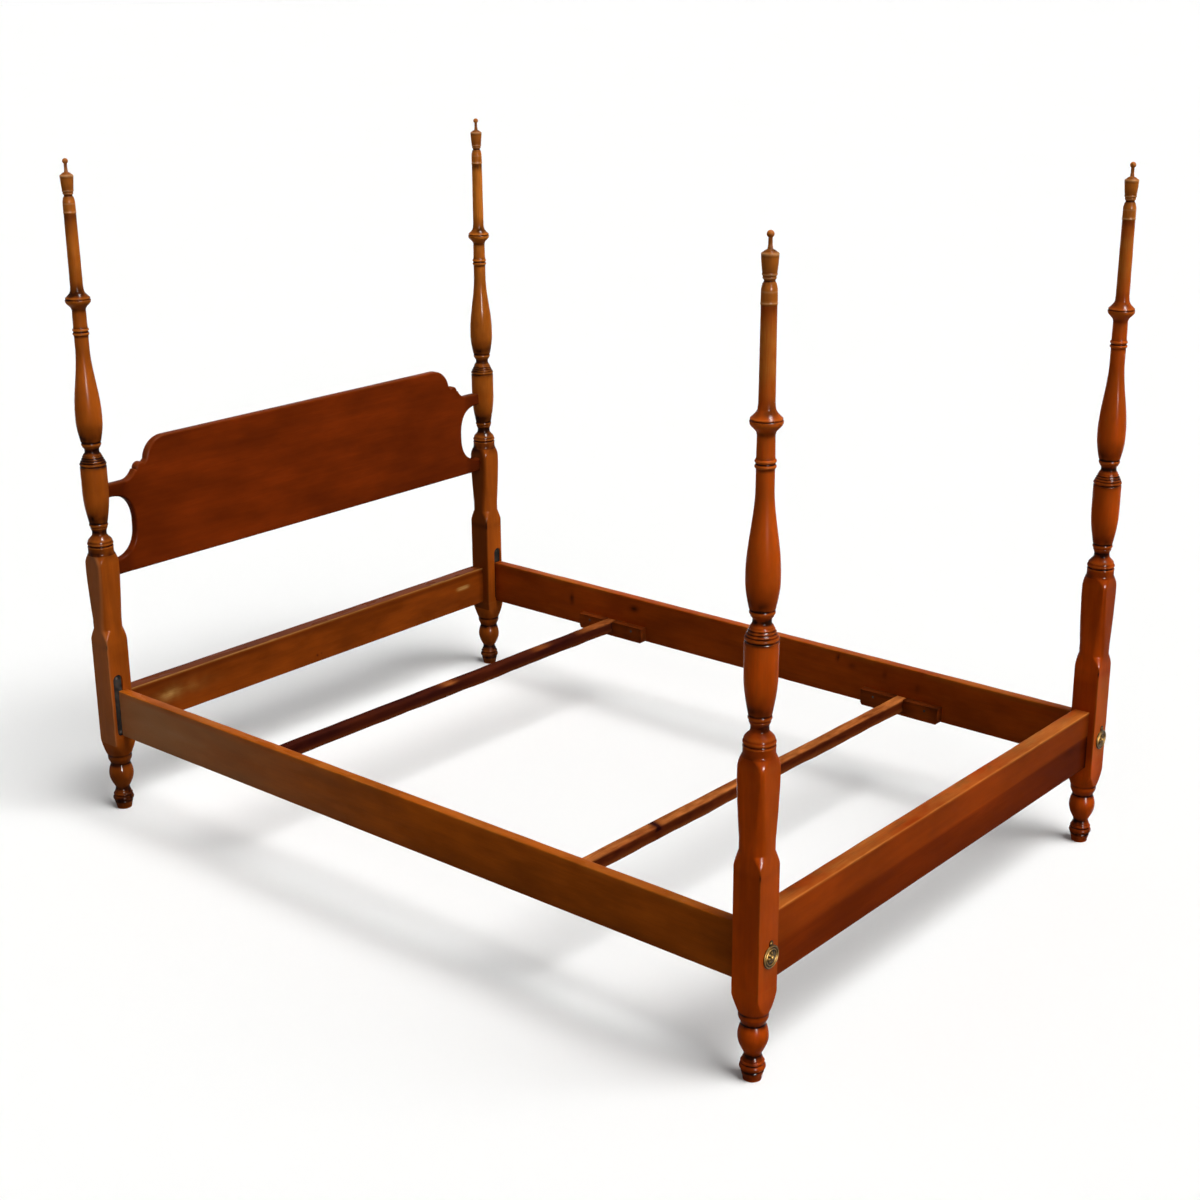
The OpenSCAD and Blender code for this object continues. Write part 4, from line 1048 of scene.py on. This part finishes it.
def make_cleat(side_name, end, material):
    side = SIDES[side_name]
    inner_x = RAIL_X[side] - side * RAIL_T / 2
    middle = cleat_y(side, end)
    notch = seat_y(side, end) - middle
    corner = CLEAT_HALF - CLEAT_CORNER
    outline = [(-CLEAT_HALF, CLEAT_H), (-CLEAT_HALF, CLEAT_CORNER)] \
        + arc((-corner, CLEAT_ROUND), CLEAT_ROUND, 180, 270, 6) \
        + arc((corner, CLEAT_ROUND), CLEAT_ROUND, 270, 360, 6) \
        + [(CLEAT_HALF, CLEAT_CORNER), (CLEAT_HALF, CLEAT_H)] \
        + [(notch + NOTCH_HALF, CLEAT_H), (notch + NOTCH_HALF, NOTCH_FLOOR),
           (notch - NOTCH_HALF, NOTCH_FLOOR), (notch - NOTCH_HALF, CLEAT_H)]

    def place(u, v, d):
        return (d, middle + u, CLEAT_Z + v)

    def finer(work):
        bmesh.ops.triangulate(work, faces=[f for f in work.faces if len(f.verts) > 4])
        long_edges = [e for e in work.edges if e.calc_length() > 0.012]
        bmesh.ops.subdivide_edges(work, edges=long_edges, cuts=3, use_grid_fill=True)

    # The edges towards the bed are eased, those on the rail nearly sharp
    near, far = (0.15, 0.9) if side == LEFT else (0.9, 0.15)
    faces_x = sorted((inner_x, inner_x - side * CLEAT_T))
    name = "cleat_%s_%s" % (end, side_name)
    cleat = build("notched_" + name, prism(outline, place, faces_x, near, far, 3), material, 30,
                  turn_out=True)
    reworked(cleat, finer)
    shade(cleat.data, 30)
    pts = points_of(cleat.data)
    y, z = pts[:, 1] - middle, pts[:, 2] - CLEAT_Z
    marks = ripple(pts, (20, 9, 60), seed=side)
    # Painted shadow along the top edge and in the notch, over stain marks, a darker end, and more
    # stain on the foot cleats
    stain = 0.12 + 0.25 * marks + 0.3 * bump_at(z, CLEAT_H, 4) + 0.3 * bump_at(y, -CLEAT_HALF, 6) \
        + 0.3 * (np.abs(y - notch) < NOTCH_HALF + 3) * (z > 8) + (0.14 if end == "foot" else 0.0)
    paint(cleat, "stain", stain)
    paint(cleat, "worn", 0.08 * np.clip(ripple(pts, (12, 20, 8), seed=5.0), 0, 1))
    return finish_piece(cleat, "frame", "cleat_wood", name)


# Rings of a screw head: (radius, how far it stands out of the cleat)
SCREW_RINGS = ((3.6, -0.4), (3.5, 0.15), (2.9, 0.35))


def make_cleat_screws(material):
    """Slotted heads, sunk flush"""
    verts, faces, stain = [], [], []
    n = 20
    for side in (LEFT, RIGHT):
        face_x = RAIL_X[side] - side * (RAIL_T / 2 + CLEAT_T)
        for end in ENDS:
            for dy in (-SCREW_Y, SCREW_Y):
                turn = 0.6 + dy * 0.01 + side
                y, z = cleat_y(side, end) + dy, CLEAT_Z + SCREW_Z
                base = len(verts)
                for r, out in SCREW_RINGS:
                    for k in range(n):
                        a = 2 * math.pi * k / n
                        dip = -0.5 if r < 3.4 and abs(math.sin(a)) < 0.2 else 0.0
                        verts.append((face_x - side * (out + dip), y + r * math.cos(a + turn),
                                      z + r * math.sin(a + turn)))
                        # The slots are painted dark as shade
                        stain.append(0.8 if dip else 0.2)
                verts.append((face_x + side * 0.15, y, z))
                stain.append(0.8)
                faces += ring_quads(3, n, base)
                faces += [[base + 2 * n + k, base + 2 * n + (k + 1) % n, base + 3 * n]
                          for k in range(n)]
    screws = build("slotted_cleat_screws", (verts, faces), material, 40)
    paint(screws, "stain", stain)
    return finish_piece(screws, "frame", "screw_steel", "cleat_screws")


# The bolt covers

# A cover's face from its rim to its middle: (radius, how far it stands out)
COVER_PROFILE = [
    (24.2, 0.0), (24.5, 0.4), (24.5, 1.2), (24.0, 2.0), (23.0, 2.9), (21.9, 3.3), (20.9, 2.9),
    (20.4, 2.1), (19.2, 1.8), (17.9, 1.9), (17.3, 2.8), (16.5, 3.3), (15.6, 2.9), (15.0, 2.0),
    (14.2, 1.6), (13.4, 2.0), (12.2, 3.0), (10.8, 3.9), (9.0, 4.7), (7.0, 5.2), (5.6, 5.0),
    (4.8, 4.4), (4.3, 5.2), (3.4, 6.3), (2.2, 6.8), (0.9, 7.0), (0.2, 7.0)]
# Tarnish in its hollows and rubbed rims: (radius, half width, strength)
COVER_HOLLOWS = [(14.3, 1.0, 0.9), (19.2, 1.1, 0.9), (4.8, 0.6, 0.9)]
COVER_RIMS = [(21.9, 0.8, 0.55), (16.5, 0.7, 0.55), (2.0, 1.6, 0.55)]
PETALS_FROM, PETALS_TO, PETAL_DEPTH = 5.2, 13.6, 1.3


def make_cover(side_name, sizes, material):
    side = SIDES[side_name]
    body = "bolt_cover_" + side_name
    x, y = COVER_X[side], FOOT_Y - HALF_STOCK - COVER_GAP
    n = 96
    verts, stain, worn = [], [], []
    for r, rise_out in COVER_PROFILE:
        petals = PETALS_FROM < r < PETALS_TO
        weight = math.sin(math.pi * (r - PETALS_FROM) / (PETALS_TO - PETALS_FROM)) if petals else 0
        dull = 0.3 + bands(r, COVER_HOLLOWS) + (0.72 if r > 24.3 else 0.0)
        for k in range(n):
            a = 2 * math.pi * k / n
            gap = (1 - abs(math.cos(sizes.petals * a / 2)) ** 0.7) * weight
            verts.append((x + r * math.sin(a), y - rise_out + PETAL_DEPTH * gap,
                          BOLT_Z + r * math.cos(a)))
            stain.append(dull + 0.8 * gap)
            worn.append(bands(r, COVER_RIMS) + 0.3 * (5.6 < r < 12 and 0.8 * gap < 0.1))
    cover = build("cast_cover_" + side_name, (verts, tube(len(COVER_PROFILE), n)), material, 50,
                  turn_out=True)
    paint(cover, "stain", stain)
    paint(cover, "worn", worn)

    def place(u, v, d):
        return (x + u, y - d, BOLT_Z + v)

    # The tab starts behind the cover's disc and ends round its screw
    outline = [(-TAB_HALF, 8), (TAB_HALF, 8), (TAB_HALF, 20)] \
        + arc((0, PIVOT_Z - BOLT_Z), TAB_HALF, 0, 180, 18) + [(-TAB_HALF, 20)]
    tab = build("cover_tab_" + side_name, prism(outline, place, (0, TAB_T), 0.3, 0.4, 2),
                material, 40, turn_out=True)
    cut(tab, [round_cutter((x, y + 2, PIVOT_Z), (0, -1, 0), PIVOT_R, 5, material)], 40)
    paint(tab, "stain", np.full(len(tab.data.vertices), 0.95))
    finish_piece(tab, body, "cover_brass")
    return finish_piece(cover, body, "cover_brass", body)


def finishes(context):
    """The materials of the bed, made once"""
    made = bpy.data.materials
    if "maple, foot posts" in made:
        return made
    f = context.scene.bed_finishes
    grime_and_shade = tuple(f.grime_and_shade)
    maple("maple, foot posts", tuple(f.foot_post), grime_and_shade, GRAIN_Z, worn="#CC7428")
    maple("maple, head posts", tuple(f.head_post), grime_and_shade, GRAIN_Z, blotch=0.3, worn="#E4842C")
    maple("maple, finials", tuple(f.finial), linear("#3A1C0A"), GRAIN_Z, worn="#E8B478", gloss=0.2)
    maple("maple, headboard", tuple(f.panel), grime_and_shade, GRAIN_X, gloss=0.22, blotch=0.26,
          worn="#B87840", ior=1.04)
    maple("maple, head rail", tuple(f.head_rail), grime_and_shade, GRAIN_X, gloss=0.28, blotch=0.3,
          worn="#C08A48")
    maple("maple, foot rail", tuple(f.foot_rail), linear("#3A0E04"), GRAIN_X, worn="#D08038",
          ior=1.03)
    maple("maple, left rail", tuple(f.left_rail), grime_and_shade, GRAIN_Y, gloss=0.26, worn="#C47228")
    maple("maple, right rail", tuple(f.right_rail), grime_and_shade, GRAIN_Y, gloss=0.28, worn="#C47228")
    maple("maple, slats", tuple(f.slat), linear("#24080A"), GRAIN_X, gloss=0.55, blotch=0.35,
          streak=0.3, worn="#D27C3C", bump=0.7, ior=1.03)
    maple("maple, cleats", tuple(f.cleat), grime_and_shade, GRAIN_Y, gloss=0.4, streak=0.3)
    aged_brass("brass, cast and tarnished", tuple(f.brass), linear("#0A0602"))
    oiled_steel("steel, oiled", tuple(f.steel))
    oiled_steel("steel, dull screws", linear("#3A3632"))
    return made


class BED_OT_posts(bpy.types.Operator):
    """Turn the four posts and cut their slots and bolt recesses"""

    bl_idname = "bed.posts"
    bl_label = "Posts"

    def execute(self, context):
        found = finishes(context)
        sizes = context.scene.bed_sizes
        for side in SIDES:
            make_post("head", side, sizes, found["maple, head posts"])
            make_post("foot", side, sizes, found["maple, foot posts"])
        return {"FINISHED"}


class BED_OT_finials(bpy.types.Operator):
    """Turn the four finials with their dowels"""

    bl_idname = "bed.finials"
    bl_label = "Finials"

    def execute(self, context):
        found = finishes(context)
        for end in ENDS:
            for side in SIDES:
                make_finial(end, side, found["maple, finials"])
        return {"FINISHED"}


class BED_OT_headboard(bpy.types.Operator):
    """Shape the headboard and round its edges"""

    bl_idname = "bed.headboard"
    bl_label = "Headboard"

    def execute(self, context):
        make_headboard(context.scene.bed_sizes, finishes(context)["maple, headboard"])
        return {"FINISHED"}


class BED_OT_rails(bpy.types.Operator):
    """Plane the side, head and foot rails"""

    bl_idname = "bed.rails"
    bl_label = "Rails"

    def execute(self, context):
        found = finishes(context)
        sizes = context.scene.bed_sizes
        side_rail("left", sizes, found["maple, left rail"])
        side_rail("right", sizes, found["maple, right rail"])
        end_rail("foot_rail", sizes, found["maple, foot rail"])
        end_rail("head_rail", sizes, found["maple, head rail"])
        return {"FINISHED"}


class BED_OT_slats(bpy.types.Operator):
    """Saw the two loose slats"""

    bl_idname = "bed.slats"
    bl_label = "Slats"

    def execute(self, context):
        for end in ENDS:
            make_slat(end, context.scene.bed_sizes, finishes(context)["maple, slats"])
        return {"FINISHED"}


class BED_OT_cleats(bpy.types.Operator):
    """Notch the four cleats and sink their screws"""

    bl_idname = "bed.cleats"
    bl_label = "Cleats"

    def execute(self, context):
        found = finishes(context)
        for side in SIDES:
            for end in ENDS:
                make_cleat(side, end, found["maple, cleats"])
        make_cleat_screws(found["steel, dull screws"])
        return {"FINISHED"}


class BED_OT_covers(bpy.types.Operator):
    """Cast the two bolt covers"""

    bl_idname = "bed.covers"
    bl_label = "Bolt covers"

    def execute(self, context):
        found = finishes(context)
        for side in SIDES:
            make_cover(side, context.scene.bed_sizes, found["brass, cast and tarnished"])
        return {"FINISHED"}


class BED_OT_hardware(bpy.types.Operator):
    """Finish the steel plates, screws, bolts and nuts of the frame"""

    bl_idname = "bed.hardware"
    bl_label = "Hardware"

    def execute(self, context):
        found = finishes(context)
        wanted = {
            "steel, oiled": ["hook_plate_left", "hook_plate_right", "socket_plate_left",
                             "socket_plate_right", "bed_bolts", "bed_nuts"],
            "steel, dull screws": ["hook_screws", "socket_screws"],
            "brass, cast and tarnished": ["cover_screws"],
        }
        for finish, names in wanted.items():
            for name in names:
                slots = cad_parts[name].data.materials
                slots.clear()
                slots.append(found[finish])
        return {"FINISHED"}


# Lamps: (name, direction towards it, strength's name, width in degrees, only gloss shows it)
LAMPS = (("key_lamp", (0.06, -0.50, 0.86), "key", 42, False),
         ("high_small_lamp", (0.10, -0.36, 0.93), "spark", 12, True),
         ("low_small_lamp", (-0.45, -0.88, 0.16), "spark", 10, True),
         ("fill_lamp", (-0.82, -0.30, 0.49), "fill", 30, False))
# Rings of the floor round the bed, out to where it meets the sky
FLOOR_RINGS = (1200, 4000, 12000, 36000, 90000)
# The camera's place in metres, and its turn in degrees: to the right of +Y, down, and over
CAMERA_AT = (-3.4048, -2.9029, 2.1034)
CAMERA_TURN = (49.853, 18.589, -0.362)


class BED_OT_stage(bpy.types.Operator):
    """Lay the floor, hang the lamps and set the camera"""

    bl_idname = "bed.stage"
    bl_label = "Stage"

    def execute(self, context):
        scene = context.scene
        stage = scene.bed_stage
        n = 96
        verts = [(0, 0, 0)] + [(u, v, 0) for r in FLOOR_RINGS
                               for u, v in arc((0, 0), r, 0, 360, n)[:-1]]
        faces = [[0, 1 + k, 1 + (k + 1) % n] for k in range(n)]
        faces += [quad[::-1] for quad in ring_quads(len(FLOOR_RINGS), n, 1)]
        paint_of_floor = pale_floor("floor paint, matt", tuple(stage.floor), stage.floor_bounce)
        build("floor", (verts, faces), paint_of_floor)

        for name, toward, power, width, gloss_only in LAMPS:
            lamp = bpy.data.lights.new(name, "SUN")
            lamp.energy = getattr(stage, power)
            lamp.angle = math.radians(width)
            made = bpy.data.objects.new(name, lamp)
            made.rotation_euler = Vector(toward).to_track_quat("Z", "Y").to_euler()
            made.visible_diffuse = not gloss_only
            scene.collection.objects.link(made)

        scene.world = bpy.data.worlds.new("studio")
        tree = emptied(scene.world)
        # The room's own light on the bed, and white to the camera and in gloss
        power = add(tree, "MapRange", [shows_background(tree), 0, 1, stage.room, 1.0])[0]
        sky = add(tree, "Background", {"Color": (1, 1, 1, 1), "Strength": power})[0]
        add(tree, "OutputWorld", [sky])

        view = bpy.data.cameras.new("camera")
        view.sensor_fit = "HORIZONTAL"
        view.sensor_width = 36.0
        view.lens = stage.lens
        view.clip_end = 300
        holder = bpy.data.objects.new("camera", view)
        yaw, pitch, roll = (math.radians(degrees) for degrees in CAMERA_TURN)
        ahead = Vector((math.sin(yaw) * math.cos(pitch), math.cos(yaw) * math.cos(pitch),
                        -math.sin(pitch)))
        level = Vector((math.cos(yaw), -math.sin(yaw), 0))
        upright = level.cross(ahead)
        right = level * math.cos(roll) + upright * math.sin(roll)
        up = upright * math.cos(roll) - level * math.sin(roll)
        turn = Matrix((right, up, -ahead)).transposed().to_4x4()
        holder.matrix_world = Matrix.Translation(CAMERA_AT) @ turn
        scene.collection.objects.link(holder)
        scene.camera = holder
        scene.view_settings.view_transform = "Standard"
        return {"FINISHED"}


class BED_PT_panel(bpy.types.Panel):
    """Sizes, finishes and makers of the bed"""

    bl_idname = "BED_PT_panel"
    bl_label = "Four-post bed"
    bl_space_type = "VIEW_3D"
    bl_region_type = "UI"
    bl_category = "Bed"

    def draw(self, context):
        for group in (context.scene.bed_sizes, context.scene.bed_finishes, context.scene.bed_stage):
            box = self.layout.box()
            for key in group.__annotations__:
                box.prop(group, key)
        for maker in MAKERS:
            self.layout.operator(maker.bl_idname)


MAKERS = (BED_OT_stage, BED_OT_posts, BED_OT_finials, BED_OT_headboard, BED_OT_rails,
          BED_OT_slats, BED_OT_cleats, BED_OT_covers, BED_OT_hardware)
CLASSES = (BedSizes, BedFinishes, BedStage) + MAKERS + (BED_PT_panel,)
GROUPS = {"bed_sizes": BedSizes, "bed_finishes": BedFinishes, "bed_stage": BedStage}


def register():
    for cls in CLASSES:
        bpy.utils.register_class(cls)
    for name, group in GROUPS.items():
        setattr(bpy.types.Scene, name, PointerProperty(type=group))


def unregister():
    for name in GROUPS:
        delattr(bpy.types.Scene, name)
    for cls in reversed(CLASSES):
        bpy.utils.unregister_class(cls)


def main():
    register()
    for maker in MAKERS:
        group, name = maker.bl_idname.split(".")
        getattr(getattr(bpy.ops, group), name)()


if __name__ == "__main__":
    main()
